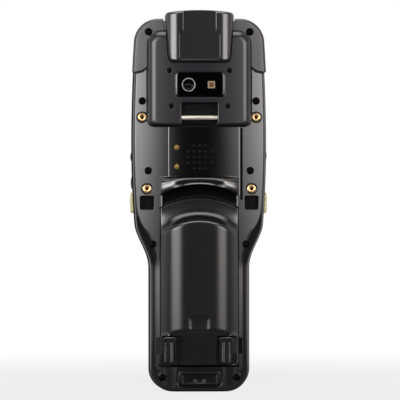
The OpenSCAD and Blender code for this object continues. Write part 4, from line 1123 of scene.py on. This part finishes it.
class TERMINAL_OT_camera_module(BuildStep, bpy.types.Operator):
    """Raised module with the seat of the camera window and the strap recess"""
    bl_idname = "terminal.camera_module"
    bl_label = "Camera module"

    def build(self, scene):
        steps = quarter(4.4, 3.4, 10)[::-1]
        halves = [module_half(inset) for inset, _ in steps] + [module_half(0)]
        levels = [lambda x, z, d=depth: module_level(x, z) + d for _, depth in steps]
        block = raw_object("camera_module", pillow(halves, levels + [sunk_by(-0.02)], 36))
        carve(block, [prism(lambda grow: whole(hood_half(-0.25)), -25, -8)])
        recess = pit(round_rect(*STRAP_MOUTH), -10, 0.45, module_level)
        window = pit(centred(WINDOW_X, WINDOW_Z, 12.9, 6.75, 1.9), MODULE_Y + 1.2, 0.3, module_level)
        wells = [both(pit(circle(x, z, 1.35), MODULE_Y + 0.9, 0.25, module_level)) for x, z in MODULE_SCREWS]
        carve(block, [recess, window] + wells)
        carve(block, [both(box(*MODULE_HOLLOW_LOW)),
                      both(box(*MODULE_HOLLOW_HIGH)),
                      prism(circle(CAMERA_X, WINDOW_Z, 3.9, 40), -19, -10),
                      prism(centred(FLASH_X, WINDOW_Z, 2.15, 2.15, 0.3), -19, -10)])
        settle(block, "module_plastic", ["module_housing"], level=module_level)


def hood_level(x, z):
    """Level of the hood's face: nearly flat in the middle, with sides that fall away."""
    return HOOD_Y + 0.1 * (x / 11.0) ** 2 + 1.1 * (np.clip(np.abs(x) - 11.6, 0, 9) / 4.0) ** 2


class TERMINAL_OT_scan_hood(BuildStep, bpy.types.Operator):
    """Hood of the scan head: two round rails, upper pads and a channel between them"""
    bl_idname = "terminal.scan_hood"
    bl_label = "Scan hood"

    def build(self, scene):
        steps = quarter(1.6, 2.6, 10)[::-1]
        halves = [hood_half(inset) for inset, _ in steps] + [hood_half(0)]
        rows = min(len(h) for h in halves)
        halves = [h[np.round(np.linspace(0, len(h) - 1, rows)).astype(int)] for h in halves]
        levels = [lambda x, z, d=depth: hood_level(x, z) + d for _, depth in steps]
        hood = raw_object("scan_hood", pillow(halves, levels + [flat(STRIP_Y + 0.5)], 72))
        rings = []
        for inset, y in ((0.15, -14.5), (0.15, -6.4), (0.35, -5.5), (0.9, -5.0)):
            high = hood_half(inset)
            high = high[high[:, 1] > 195.8][-16:]
            rings.append(on_level(whole(np.concatenate([[(high[0, 0], 195.4)], high])), y))
        carve(hood, [loft(rings)], "UNION")
        carve(hood, [pit(round_rect(*HOOD_CHANNEL), HOOD_Y + 0.9, 0.3, hood_level)])
        carve(hood, [pit(round_rect(*HOOD_NOTCH), HOOD_Y + 0.92, 0.45, hood_level)])
        carve(hood, [box(*SCANNER_ROOM),
                     box(*SCANNER_MOUTH)])
        settle(hood, "hood_plastic", ["scanner_hood"], sharp=36, level=hood_level)


class TERMINAL_OT_camera_set(BuildStep, bpy.types.Operator):
    """Camera window, lens ring, lens and flash"""
    bl_idname = "terminal.camera_set"
    bl_label = "Camera set"

    def build(self, scene):
        steps = [(0, MODULE_Y + 1.1), (0, MODULE_Y + 0.2), (-0.55, MODULE_Y), (-0.6, MODULE_Y - 0.01)]
        plate = raw_object("camera_plate", loft(rings_y(centred(WINDOW_X, WINDOW_Z, 12.8, 6.65, 1.9), steps)))
        carve(plate, [prism(circle(CAMERA_X, WINDOW_Z, 3.54, 48), -20, -16),
                      prism(centred(FLASH_X, WINDOW_Z, 1.9, 1.9, 0.3), -20, -16)])
        settle(plate, "window_black", ["camera_window"], sharp=12)
        top = MODULE_Y - 0.2
        ring = [(3.5, top + 2), (3.5, top + 0.2), (3.45, top + 0.07), (3.32, top), (3.17, top + 0.03),
                (3.07, top + 0.2), (3.03, top + 2)]
        piece("lens_ring", lathe(ring, CAMERA_X, WINDOW_Z, 56), "ring_silver", ["camera_ring"])
        barrel = [(0.3, -14.0), (3.0, -14.0), (3.0, -18.1), (2.9, -18.2), (2.4, -17.6), (2.35, -17.2),
                  (1.7, -16.9), (1.65, -16.5), (1.4, -16.6), (1.1, -16.8), (0.7, -16.94), (0.35, -17.0),
                  (0.1, -17.02)]
        piece("lens_stack", turned(barrel, CAMERA_X, WINDOW_Z, 48), "lens_glass", ["camera_lens"])
        steps = [(0, -14.0), (0, MODULE_Y + 0.1), (-0.12, MODULE_Y - 0.05)]
        edge = raw_object("flash_frame", loft(rings_y(centred(FLASH_X, WINDOW_Z, 1.85, 1.85, 0.35), steps)))
        inner = centred(FLASH_X, WINDOW_Z, 1.2, 1.2, 0.3)
        carve(edge, [loft(rings_y(inner, [(0.25, -19), (0.2, MODULE_Y - 0.05), (0, MODULE_Y + 0.7)]))])
        settle(edge, "flash_amber", ["flash_led"], looks=["flash_frame"])
        bed = loft(rings_y(inner, [(-0.02, -17.0), (-0.02, MODULE_Y + 0.72), (-0.3, MODULE_Y + 0.55)]))
        die = loft(rings_y(centred(FLASH_X - 0.05, WINDOW_Z, 0.5, 0.5, 0.2),
                           [(0, -17.9), (0, MODULE_Y + 0.4), (-0.1, MODULE_Y + 0.3)]))
        piece("flash_die", joined(bed, die), "flash_amber")


class TERMINAL_OT_fittings(BuildStep, bpy.types.Operator):
    """Screws, threaded inserts with dark rings of painted shade round them, strap bar and contact pins"""
    bl_idname = "terminal.fittings"
    bl_label = "Fittings"

    def build(self, scene):
        def heads(places, r, thick, shank, end):
            """Screw heads with a domed edge and a shank, each at its own level."""
            return [turned([(shank, end), (shank, top + thick), (r, top + thick), (r, top + 0.45),
                            (0.93 * r, top + 0.18), (0.78 * r, top + 0.04), (0.6 * r, top)], x, z, 36)
                    for x, z, top in places]

        def crosses(places, a, b, depth):
            """Cutters for cross recesses with arms of one length and half width."""
            corner = np.array([(a, -b), (a, b), (b, b)])
            plus = np.concatenate([corner @ [[c, t], [-t, c]] for c, t in ((0, -1), (1, 0), (0, 1), (-1, 0))])
            return [loft(rings_y(lambda grow, x=x, z=z: plus * (1 + grow) + (x, z),
                                 [(0.12, top - 1), (0.0, top), (-0.35, top + depth)]))
                    for x, z, top in places]

        long_places = [(s * x, z, float(back_level(x, z)) + 0.95) for x, z in SIDE_SCREWS + (BUMPER_SCREW,)
                       for s in SIDES]
        short_places = [(s * x, z, MODULE_Y + 0.2) for x, z in MODULE_SCREWS for s in SIDES]
        for name, node, places, head, cross in (
                ("long_screws", "housing_screws", long_places, (1.78, 1.7, 1.1, 3.6), (1.05, 0.27, 1.0)),
                ("short_screws", "module_screws", short_places, (1.22, 0.6, 0.8, -14.6), (0.75, 0.2, 0.45))):
            screws = raw_object(name, joined(*heads(places, *head)))
            carve(screws, crosses(places, *cross))
            settle(screws, "screw_black", [node])
        inserts, shade_rings = [], []
        r, c = INSERT_R, COLLAR_R - 0.05
        for x, z in INSERTS:
            y = float(back_level(x, z))
            brass = [(0.7, INSERT_END_Y), (r, INSERT_END_Y), (r, y + 0.25), (r - 0.06, y + 0.1),
                     (r - 0.25, y + 0.02), (1.15, y + 0.04), (0.95, y + 0.15), (0.7, y + 0.6)]
            # A dark ring fills the shallow pit round each insert: painted shade in that pit.
            shade_ring = [(r + 0.04, y + 0.95), (c, y + 0.95), (c, y + 0.1), (c - 0.15, y - 0.03), (c - 0.45, y),
                      (r + 0.04, y + 0.4)]
            inserts.append(both(lathe(brass, x, z)))
            shade_rings.append(both(lathe(shade_ring, x, z)))
        piece("brass_inserts", joined(*inserts), "brass", ["grip_inserts"])
        piece("insert_shade_rings", joined(*shade_rings), "seal_rubber", looks=["collar_painted_shade"])
        bar = along_x(circle(MODULE_Y + 1.5, STRAP_Z, 1.15, 32),
                      [(-0.2, -10.9), (0, -10.7), (0, 10.7), (-0.2, 10.9)])
        piece("strap_pin", bar, "steel_bright", ["strap_bar"], sharp=50)
        y = float(back_level(PIN_X, 123))
        pin = [(1.33, -10.4), (1.33, y + 0.5), (0.95, y + 0.5), (0.92, y + 0.15), (0.8, y), (0.6, y - 0.12),
               (0.35, y - 0.2), (0.1, y - 0.22)]
        pins = [turned(pin, PIN_X, z, 32) for z in PIN_ZS]
        piece("contact_pins", joined(*pins), "contact_gold", ["trigger_contacts"])


def pack_surface(x, z, pack):
    """Level of the pack's outer face. The ridge is flat in the middle and falls to its sides with a
    power of the distance. Above, a scoop falls to the arched edge: it multiplies the ridge by a power
    of the way up that gets smaller towards the sides. Below the ridge a plate slopes back to the
    foot."""
    middle, ridge = pack.crown_half / MM, pack.ridge_half / MM
    side = STRIP_Y - 0.15
    away = np.abs(x) / PACK_HALF
    share = 1 - np.clip((np.abs(x) - middle) / (ridge - middle), 0, 1) ** 2.6
    edge = pack.arc_z / MM - 7.5 * away ** 2
    rim = arch_z(x) - 0.8
    scoop = np.clip((rim - z) / (rim - edge), 0, 1) ** (4.5 - 2.8 * away ** 2)
    high = side + (PACK_Y - side) * share * scoop + 0.25 * away ** 2
    line = np.interp(z, [13.5, 14.0, 19.4, 20.2, 30.3, 32.5], [-14.2, -14.6, -16.5, -16.7, -17.5, -17.5])
    low = line + (side - line) * np.clip((np.abs(x) - 15.5) / 5.2, 0, 1) ** 2.2
    y = low + (high - low) * smooth((z - 30.5 + 1.1 * (x / 14.0) ** 2) / 1.7)
    plate = smooth((5.0 - np.abs(x + 0.2)) / 0.35) * smooth((3.4 - np.abs(z - 36.0)) / 0.35)
    return y + 0.28 * plate


class TERMINAL_OT_pack_cover(BuildStep, bpy.types.Operator):
    """Outer cover of the battery pack, with its ridge, scoop and lock pockets"""
    bl_idname = "terminal.pack_cover"
    bl_label = "Pack cover"

    def build(self, scene):
        pack = scene.terminal_pack
        close = np.array([0, 0.12, 0.28, 0.5, 0.8])
        half = PACK_HALF - 0.2
        middle = np.linspace(-half + 1.1, half - 1.1, pack.cells)
        columns = np.concatenate([-half + close, middle, half - close[::-1]])
        rows = np.linspace(0.0125, 0.9875, 2 * pack.cells)
        share = np.concatenate([close / 88, rows, 1 - close[::-1] / 88])
        x, t = np.meshgrid(columns, share)
        top = arch_z(x) - 0.15
        z = PACK_Z0 + (top - PACK_Z0) * t
        y = softened(pack_surface(x, z, pack), 12)
        near = np.minimum(np.minimum(half - np.abs(x), top - z), z - PACK_Z0)
        r = 0.55
        y = y + r - np.sqrt(np.clip(r * r - np.clip(r - near, 0, r) ** 2, 0, None))
        cover = raw_object("pack_shell", field(x, z, y, -4.0))

        def below(depth):
            return lambda x, z: pack_surface(x, z, pack) + depth
        pocket = round_rect(*LOCK_POCKET)
        carve(cover, [both(loft(rings_y(pocket, [(0.35, -23), (0.3, below(-0.05)), (0.1, below(0.2)),
                                                 (0, LOCK_FLOOR)])))])
        carve(cover, [both(box(*LOCK_PASSAGE)),
                      box(*CELL_ROOM)])
        carve(cover, [box(*PACK_HOOK)], "UNION")
        settle(cover, "pack_plastic", ["battery_cover"], "battery_pack", 42)


class TERMINAL_OT_pack_locks(BuildStep, bpy.types.Operator):
    """The two slide locks at the pack's foot, ribbed for the thumb"""
    bl_idname = "terminal.pack_locks"
    bl_label = "Pack locks"

    def build(self, scene):
        u, z = np.meshgrid(np.linspace(0, LOCK_W, 91), np.linspace(LOCK_Z0, LOCK_Z1, 121))
        plane = np.interp(z, [14.8, 27.3, 28.2, 28.9], [-14.9, -18.1, -18.15, -17.7])
        side = np.minimum(u, LOCK_W - u)
        rim = np.minimum(side, LOCK_Z1 - z)
        start = smooth((z - LOCK_Z0 - 0.3) / 0.5)
        bowl = smooth((rim - 0.8) / 0.4) * start
        floor = plane + 2.3 * bowl + 0.15 * ((rim - 0.4) / 0.4) ** 2 * (rim < 0.8)
        y = floor
        for middle, half, top in ((2.35, 0.85, -15.7), (5.75, 0.5, -15.5)):
            s = (u - middle) / half
            crest = top + 0.13 * half * s ** 2 + 0.6 * smooth((z - 25.2) / 1.2)
            y = y + (np.minimum(crest, floor) - y) * smooth((1.2 - np.abs(s)) / 0.3) * start
        corner = np.hypot(np.clip(1.7 - side, 0, None), np.clip(1.7 - (LOCK_Z1 - z), 0, None))
        y = softened(y + 7.0 * smooth((corner - 1.55) / 0.4), 1)
        rim = np.minimum(rim, z - LOCK_Z0)
        y = y + 0.4 - np.sqrt(np.clip(0.16 - np.clip(0.4 - rim, 0, 0.4) ** 2, 0, None))
        for name, body, shift, side in (("lock_slider_left", "lock_left", 12.2, -1),
                                        ("lock_slider_right", "lock_right", 10.0, 1)):
            slab = field(u + shift, z, np.minimum(y, -10.2), -10.1)
            tongue = box(shift + LOCK_W - 0.5, shift + LOCK_W + 2.7, STRIP_Y, -10.12, 20.0, 28.0)
            item = raw_object(name, on_side(slab, side))
            carve(item, [on_side(tongue, side)], "UNION")
            settle(item, "lock_plastic", [body], body, 40)


class TERMINAL_OT_port_cover(BuildStep, bpy.types.Operator):
    """Rubber cover of the connector port, with a rim and a dimple for the finger"""
    bl_idname = "terminal.port_cover"
    bl_label = "Port cover"

    def build(self, scene):
        outline = divided(round_rect(*PORT_LID))

        def face(x, z):
            inside = np.minimum(10.1 - np.abs(x), np.minimum(z - 3.4, 10.3 - z))
            dimple = np.clip(1 - ((x / 3.4) ** 2 + ((z - 6.4) / 2.5) ** 2), 0, 1)
            return -15.5 + 0.2 * smooth((inside - 0.9) / 0.5) + 0.35 * dimple
        edge = rings_y(outline, [(0, -14.3), (0, -14.35), (-0.1, -14.4), (-0.85, -14.4), (-0.9, -14.5)]
                       + [(-0.9 - i, -15.5 + d) for i, d in quarter(0.35, 0.4, 5)])
        lid = loft(edge + rings_to_middle(outline, face, 26, 1.3))
        plug = loft(rings_y(round_rect(*PORT_PLUG), [(0, -14.5), (0, -13.1), (-0.3, -12.9)]))
        item = raw_object("port_lid", lid)
        carve(item, [plug], "UNION")
        settle(item, "cover_rubber", ["connector_cover"], "connector_cover", 40)


class TERMINAL_OT_side_buttons(BuildStep, bpy.types.Operator):
    """Triggers and keys on the two flanks"""
    bl_idname = "terminal.side_buttons"
    bl_label = "Side buttons"

    def build(self, scene):
        for name, side, z, h, d, tip, r in BUTTONS:
            outline = centred(BUTTON_Y, z, d, h, r, 7)
            seat = float(half_width(z - h - 0.7)) - WALL - 0.3
            cap = [(-i, tip - 0.28 - e) for i, e in quarter(0.9, 0.75, 6)]
            crowned = [(-0.9 - 0.55 * k, tip - 0.28 + 0.07 * k) for k in (1, 2, 3)]
            solid = along_x(outline, [(0.7, seat - 1), (0.7, seat), (0, seat)] + cap + crowned)
            slot = "trigger_yellow" if "trigger" in name else "key_rubber"
            piece(name + "_cap", on_side(solid, side), slot, [name], body=name, sharp=42)


class TERMINAL_OT_display(BuildStep, bpy.types.Operator):
    """Display glass and the grille of the earpiece"""
    bl_idname = "terminal.display"
    bl_label = "Display"

    def build(self, scene):
        steps = [(0, 10.65)] + [(-i, 12.15 - d) for i, d in quarter(0.45, 0.4, 6)]
        piece("display_pane", loft(rings_y(round_rect(*DISPLAY_PANE), steps)), "display_glass",
              ["display_glass"])
        bars = [along_x(circle(11.3, z, 0.16, 10), [(0, -6.2), (0, 6.2)]) for z in (187.55, 187.9, 188.25)]
        bars += [prism(circle(x, 187.9, 0.16, 10), 10.9, 11.3) for x in np.arange(-5.4, 5.5, 0.6)]
        piece("earpiece_mesh", joined(*bars), "inner_steel")


def digit_solid(text, x, z, size):
    """A digit as a thin raised mesh, turned to face the front and set on its key."""
    curve = bpy.data.curves.new("digit", "FONT")
    curve.body, curve.size, curve.extrude = text, size, 0.05
    curve.align_x, curve.align_y = "CENTER", "CENTER"
    curve.resolution_u = 3
    item = bpy.data.objects.new("digit", curve)
    bpy.context.scene.collection.objects.link(item)
    mesh = evaluated(item)
    co = gathered(mesh.vertices, "co")
    mesh.calc_loop_triangles()
    corners = gathered(mesh.loop_triangles, "vertices", 3, np.int32)
    bpy.data.objects.remove(item)
    bpy.data.meshes.remove(mesh)
    bpy.data.curves.remove(curve)
    return np.column_stack([x - co[:, 0], KEY_Y - 0.06 + co[:, 2], z + co[:, 1]]), [corners]


class TERMINAL_OT_keypad(BuildStep, bpy.types.Operator):
    """Keys of the front: number keys with their digits, scan and function keys, ring and middle"""
    bl_idname = "terminal.keypad"
    bl_label = "Keypad"

    def build(self, scene):
        for name, x, z, w, h, r in key_places():
            outline = centred(x, z, w, h, r, 8)

            def rise(a, b, x=x, z=z, w=w, h=h):
                return KEY_Y - 0.05 - 0.28 * (((a - x) / w) ** 2 + ((b - z) / h) ** 2) / 2
            stem = [(0.7, FLANGE_Y - 1), (0.7, FLANGE_Y), (0, FLANGE_Y), (0, KEY_Y - 0.85)]
            edge = [(-i, lambda a, b, d=d: rise(a, b) - d) for i, d in quarter(0.5, 0.45, 5)]
            cap = loft(rings_y(outline, stem + edge) + rings_to_middle(outline, rise, 8, 0.55))
            item = raw_object(name + "_cap", joined(cap, self.sign(name, x, z)))
            own = np.zeros(len(item.data.polygons), np.int32)
            own[sum(len(f) for f in cap[1]):] = 1
            looks = ["trigger_yellow", "key_rubber"] if name == "key_scan" else ["key_rubber", "print"]
            settle(item, looks[0], [name], name, 40, looks, own)
        top = KEY_Y - 0.03
        ring = [(4.5, 8.2), (9.3, 8.2), (9.3, 9.2), (8.6, 9.2), (8.6, top - 0.7), (8.45, top - 0.35),
                (8.1, top - 0.1), (7.6, top), (6.9, top - 0.05), (6.0, top - 0.3), (5.2, top - 0.5),
                (4.75, top - 0.62), (4.5, top - 0.9)]
        item = raw_object("nav_ring_cap", lathe(ring, 0, NAV_Z, 72))
        carve(item, [turned([(0.45, 11.9), (0.62, 13.5)], x, z, 16)
                     for x, z in circle(0, NAV_Z, NAV_DOT_R, 4)()])
        settle(item, "nav_grey", ["nav_ring"], "nav_ring", 40)
        button = [(4.0, 8.2), (4.2, 8.4), (4.2, 11.5), (4.1, 11.85), (3.8, 12.1), (3.2, 12.22), (2.2, 12.32),
                  (1.0, 12.38), (0.1, 12.4)]
        piece("key_ok_cap", turned(button, 0, NAV_Z, 56), "key_rubber", ["key_ok"], body="key_ok")

    def sign(self, name, x, z):
        """What stands on a key: its digit, or a bar, a ring, three lines or a dot."""
        mark, low, top = name.split("_")[1], KEY_Y - 0.12, KEY_Y - 0.01
        if mark.isdigit():
            return digit_solid(mark, x, z, 5.6)
        if mark == "clear":
            return prism(centred(x, z, 1.5, 0.32, 0.3), low, top)
        if mark == "enter":
            return lathe([(0.95, low), (1.5, low), (1.5, top), (0.95, top)], x, z, 32)
        if mark == "scan":
            return joined(*[prism(centred(x + 2.4 * i, z, 0.25, 1.5, 0.2), KEY_Y - 0.2, KEY_Y - 0.02)
                            for i in (-1, 0, 1)])
        return prism(circle(x, z, 0.55, 24), low, top)


INNER_PARTS = {"seal_rubber": ["housing_seal"], "scan_glass": ["scan_window"],
               "engine_black": ["scan_engine"], "inner_dark": ["speaker", "receiver", "display_module"],
               "pack_plastic": ["battery_tray"], "cell_wrap": ["battery_cells"], "mat_rubber": ["keypad_mat"],
               "board_green": ["camera_board", "main_board", "keypad_board"],
               "inner_steel": ["card_holder", "io_connector", "lock_leaves"],
               "contact_gold": ["battery_contacts", "battery_terminals", "antenna"]}


class TERMINAL_OT_inner_parts(BuildStep, bpy.types.Operator):
    """Finishes of the parts that keep their own shape"""
    bl_idname = "terminal.inner_parts"
    bl_label = "Inner parts"

    def build(self, scene):
        for name, nodes in INNER_PARTS.items():
            for node in nodes:
                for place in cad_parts[node].material_slots:
                    place.material = look(name)


def lamp(name, azimuth, elevation, distance, size, power, tint, target):
    """A soft rectangular lamp that faces the target."""
    light = bpy.data.lights.new(name, "AREA")
    light.shape, light.size, light.size_y = "RECTANGLE", *size
    light.energy, light.color = power, tint
    item = bpy.data.objects.new(name, light)
    a, e = math.radians(azimuth), math.radians(elevation)
    item.location = (target[0] + distance * math.sin(a) * math.cos(e),
                     target[1] - distance * math.cos(a) * math.cos(e), target[2] + distance * math.sin(e))
    item.rotation_euler = (math.radians(90) - e, 0, a)
    item.visible_camera = item.visible_glossy = False
    bpy.context.scene.collection.objects.link(item)


def shared_light(tree, kinds):
    """The largest of the named ray kinds' outputs of a Light Path."""
    paths = tree.nodes.new("ShaderNodeLightPath").outputs
    seen = paths[kinds[0]]
    for kind in kinds[1:]:
        seen = math_node(tree, "MAXIMUM", seen, paths[kind])
    return seen


class TERMINAL_OT_stage(BuildStep, bpy.types.Operator):
    """Pale floor, soft lamps, white surroundings and the camera"""
    bl_idname = "terminal.stage"
    bl_label = "Stage"

    def build(self, scene):
        given = scene.terminal_stage
        self.floor(given)
        self.surroundings(scene, given)
        turn, power = given.lamp_turn, given.side_power
        for name, azimuth, elevation, distance, size, share, tint in (
                ("lamp_left", -turn, 4, 1.5, (0.95, 1.25), 1.0, (1.0, 0.97, 0.95)),
                ("lamp_right", turn, 4, 1.5, (0.95, 1.25), 1.0, (1.0, 0.94, 0.89)),
                ("lamp_top", 0, 58, 1.2, (0.9, 0.4), 0.3, (1.0, 1.0, 1.0)),
                ("lamp_behind_left", -142, 12, 1.5, (0.8, 1.2), 0.7, (1.0, 0.98, 0.96)),
                ("lamp_behind_right", 142, 12, 1.5, (0.8, 1.2), 0.7, (0.98, 0.99, 1.0))):
            lamp(name, azimuth, elevation, distance, size, share * power, tint, (0, 0, 0.11))
        camera = bpy.data.cameras.new("camera")
        camera.lens, camera.sensor_width = given.lens, 36.0
        item = bpy.data.objects.new("camera", camera)
        place = Matrix.Translation((given.shift_x, -given.distance, given.centre_z))
        tilt = Matrix.Rotation(math.radians(90), 4, "X") @ Matrix.Rotation(given.roll, 4, "Z")
        item.matrix_world = Matrix.Rotation(given.azimuth, 4, "Z") @ place @ tilt
        scene.collection.objects.link(item)
        scene.camera = item
        scene.view_settings.view_transform = "Standard"

    def floor(self, given):
        """A pale floor that fades to white away from the object and keeps its shadow. In gloss it is
        white behind the object and dark before it, like the surroundings."""
        bpy.ops.mesh.primitive_plane_add(size=1.2, location=(0, 0, 0))
        floor = bpy.context.object
        floor.name = "floor"
        material = bpy.data.materials.new("floor_pale")
        material.use_nodes = True
        tree = material.node_tree
        surface = tree.nodes["Principled BSDF"]
        surface.inputs["Base Color"].default_value = (0.45, 0.45, 0.45, 1)
        surface.inputs["Roughness"].default_value = 0.9
        surface.inputs["Specular IOR Level"].default_value = 0.1
        place = tree.nodes.new("ShaderNodeTexCoord").outputs["Object"]
        reach = add(tree, "ShaderNodeVectorMath", place, operation="LENGTH").outputs["Value"]
        far = add(tree, "ShaderNodeMapRange", reach, 0.13, 0.45, 0.8, 1.0, interpolation_type="SMOOTHSTEP")
        seen = shared_light(tree, ("Is Camera Ray", "Is Transmission Ray"))
        gloss = shared_light(tree, ("Is Glossy Ray",))
        behind = add(tree, "ShaderNodeMapRange", add(tree, "ShaderNodeSeparateXYZ", place).outputs["Y"],
                     -0.1, 0.3, given.gloss_floor, 1.0, interpolation_type="SMOOTHSTEP").outputs[0]
        strength = math_node(tree, "MAXIMUM", seen, times(tree, gloss, behind))
        glow = add(tree, "ShaderNodeEmission", (1, 1, 1, 1), strength)
        share = math_node(tree, "MAXIMUM", times(tree, seen, far.outputs[0]), gloss)
        blend = add(tree, "ShaderNodeMixShader", share, surface.outputs[0], glow.outputs[0])
        put(tree, tree.nodes["Material Output"].inputs["Surface"], blend.outputs[0])
        floor.data.materials.append(material)

    def surroundings(self, scene, given):
        """White to the eye and through glass, and dim as a light. In gloss it is white behind the
        object and dark behind the camera, with a soft bright panel on each side and one above:
        each panel's strength rises and falls smoothly with the direction's angle."""
        world = bpy.data.worlds.new("studio")
        scene.world = world
        world.use_nodes = True
        tree = world.node_tree
        plain = tree.nodes["Background"]
        seen = shared_light(tree, ("Is Camera Ray", "Is Transmission Ray"))
        direction = tree.nodes.new("ShaderNodeTexCoord").outputs["Generated"]
        axes = add(tree, "ShaderNodeSeparateXYZ", direction).outputs

        def ramp(value, start, end, low=0.0, high=1.0):
            return add(tree, "ShaderNodeMapRange", value, start, end, low, high,
                       interpolation_type="SMOOTHSTEP").outputs[0]
        turn = math_node(tree, "ARCTAN2", axes["X"], times(tree, axes["Y"], -1.0))
        band = times(tree, ramp(axes["Z"], -0.04, 0.045, given.low_share, 1.0), ramp(axes["Z"], 0.68, 0.42),
                     ramp(axes["Z"], 0.34, 0.1, 0.3, 1.0))
        total = ramp(axes["Y"], -0.65, 0.35, given.gloss_side, 1.0)
        for side, start, end, strength in ((-1, given.left_start, given.left_end, given.left_panel),
                                           (1, given.right_start, given.right_end, given.right_panel)):
            angle = times(tree, turn, side * 180 / math.pi)
            panel = times(tree, ramp(angle, start, start + 17.0), ramp(angle, end, end - 18.0, 0.09, 1.0),
                          ramp(angle, 110.0, 80.0), band, strength)
            total = math_node(tree, "ADD", total, panel)
        above = times(tree, ramp(axes["Z"], 0.68, 0.80), ramp(axes["Y"], 0.3, 0.0),
                      ramp(math_node(tree, "ABSOLUTE", axes["X"]), 0.52, 0.25), given.top_panel)
        total = math_node(tree, "ADD", total, above)
        gloss = shared_light(tree, ("Is Glossy Ray",))
        dull = math_node(tree, "SUBTRACT", 1.0, gloss)
        level = math_node(tree, "MAXIMUM", times(tree, gloss, total), times(tree, dull, given.ambient))
        put(tree, plain.inputs["Strength"], math_node(tree, "MAXIMUM", seen, level))
        warm = mix_colour(tree, ramp(turn, 0.0, 0.6), (1.0, 0.975, 0.965, 1), (1.0, 0.945, 0.915, 1))
        before = ramp(axes["Y"], 0.2, -0.3)
        put(tree, plain.inputs["Color"], mix_colour(tree, times(tree, gloss, before), (1, 1, 1, 1), warm))


STEPS = (TERMINAL_OT_rear_shell, TERMINAL_OT_front_shell, TERMINAL_OT_bumpers, TERMINAL_OT_finger_rest,
         TERMINAL_OT_camera_module, TERMINAL_OT_scan_hood, TERMINAL_OT_camera_set, TERMINAL_OT_fittings,
         TERMINAL_OT_pack_cover, TERMINAL_OT_pack_locks, TERMINAL_OT_port_cover, TERMINAL_OT_side_buttons,
         TERMINAL_OT_display, TERMINAL_OT_keypad, TERMINAL_OT_inner_parts, TERMINAL_OT_stage)


class TERMINAL_PT_panel(bpy.types.Panel):
    """Settings and building steps of the terminal"""
    bl_label = "Barcode terminal"
    bl_idname = "TERMINAL_PT_panel"
    bl_space_type = "VIEW_3D"
    bl_region_type = "UI"
    bl_category = "Terminal"

    def draw(self, context):
        for name in SETTINGS:
            group = getattr(context.scene, name)
            box_ = self.layout.box()
            for key in type(group).__annotations__:
                box_.prop(group, key)
        for step in STEPS:
            self.layout.operator(step.bl_idname)


def register():
    """Registers the settings, steps and panel."""
    for name, group in SETTINGS.items():
        bpy.utils.register_class(group)
        setattr(bpy.types.Scene, name, PointerProperty(type=group))
    for item in STEPS + (TERMINAL_PT_panel,):
        bpy.utils.register_class(item)


def unregister():
    """Removes them again."""
    for item in (TERMINAL_PT_panel,) + STEPS[::-1]:
        bpy.utils.unregister_class(item)
    for name, group in SETTINGS.items():
        delattr(bpy.types.Scene, name)
        bpy.utils.unregister_class(group)


def main():
    """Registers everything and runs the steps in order."""
    register()
    for step in STEPS:
        space, _, name = step.bl_idname.partition(".")
        getattr(getattr(bpy.ops, space), name)()


if __name__ == "__main__":
    main()
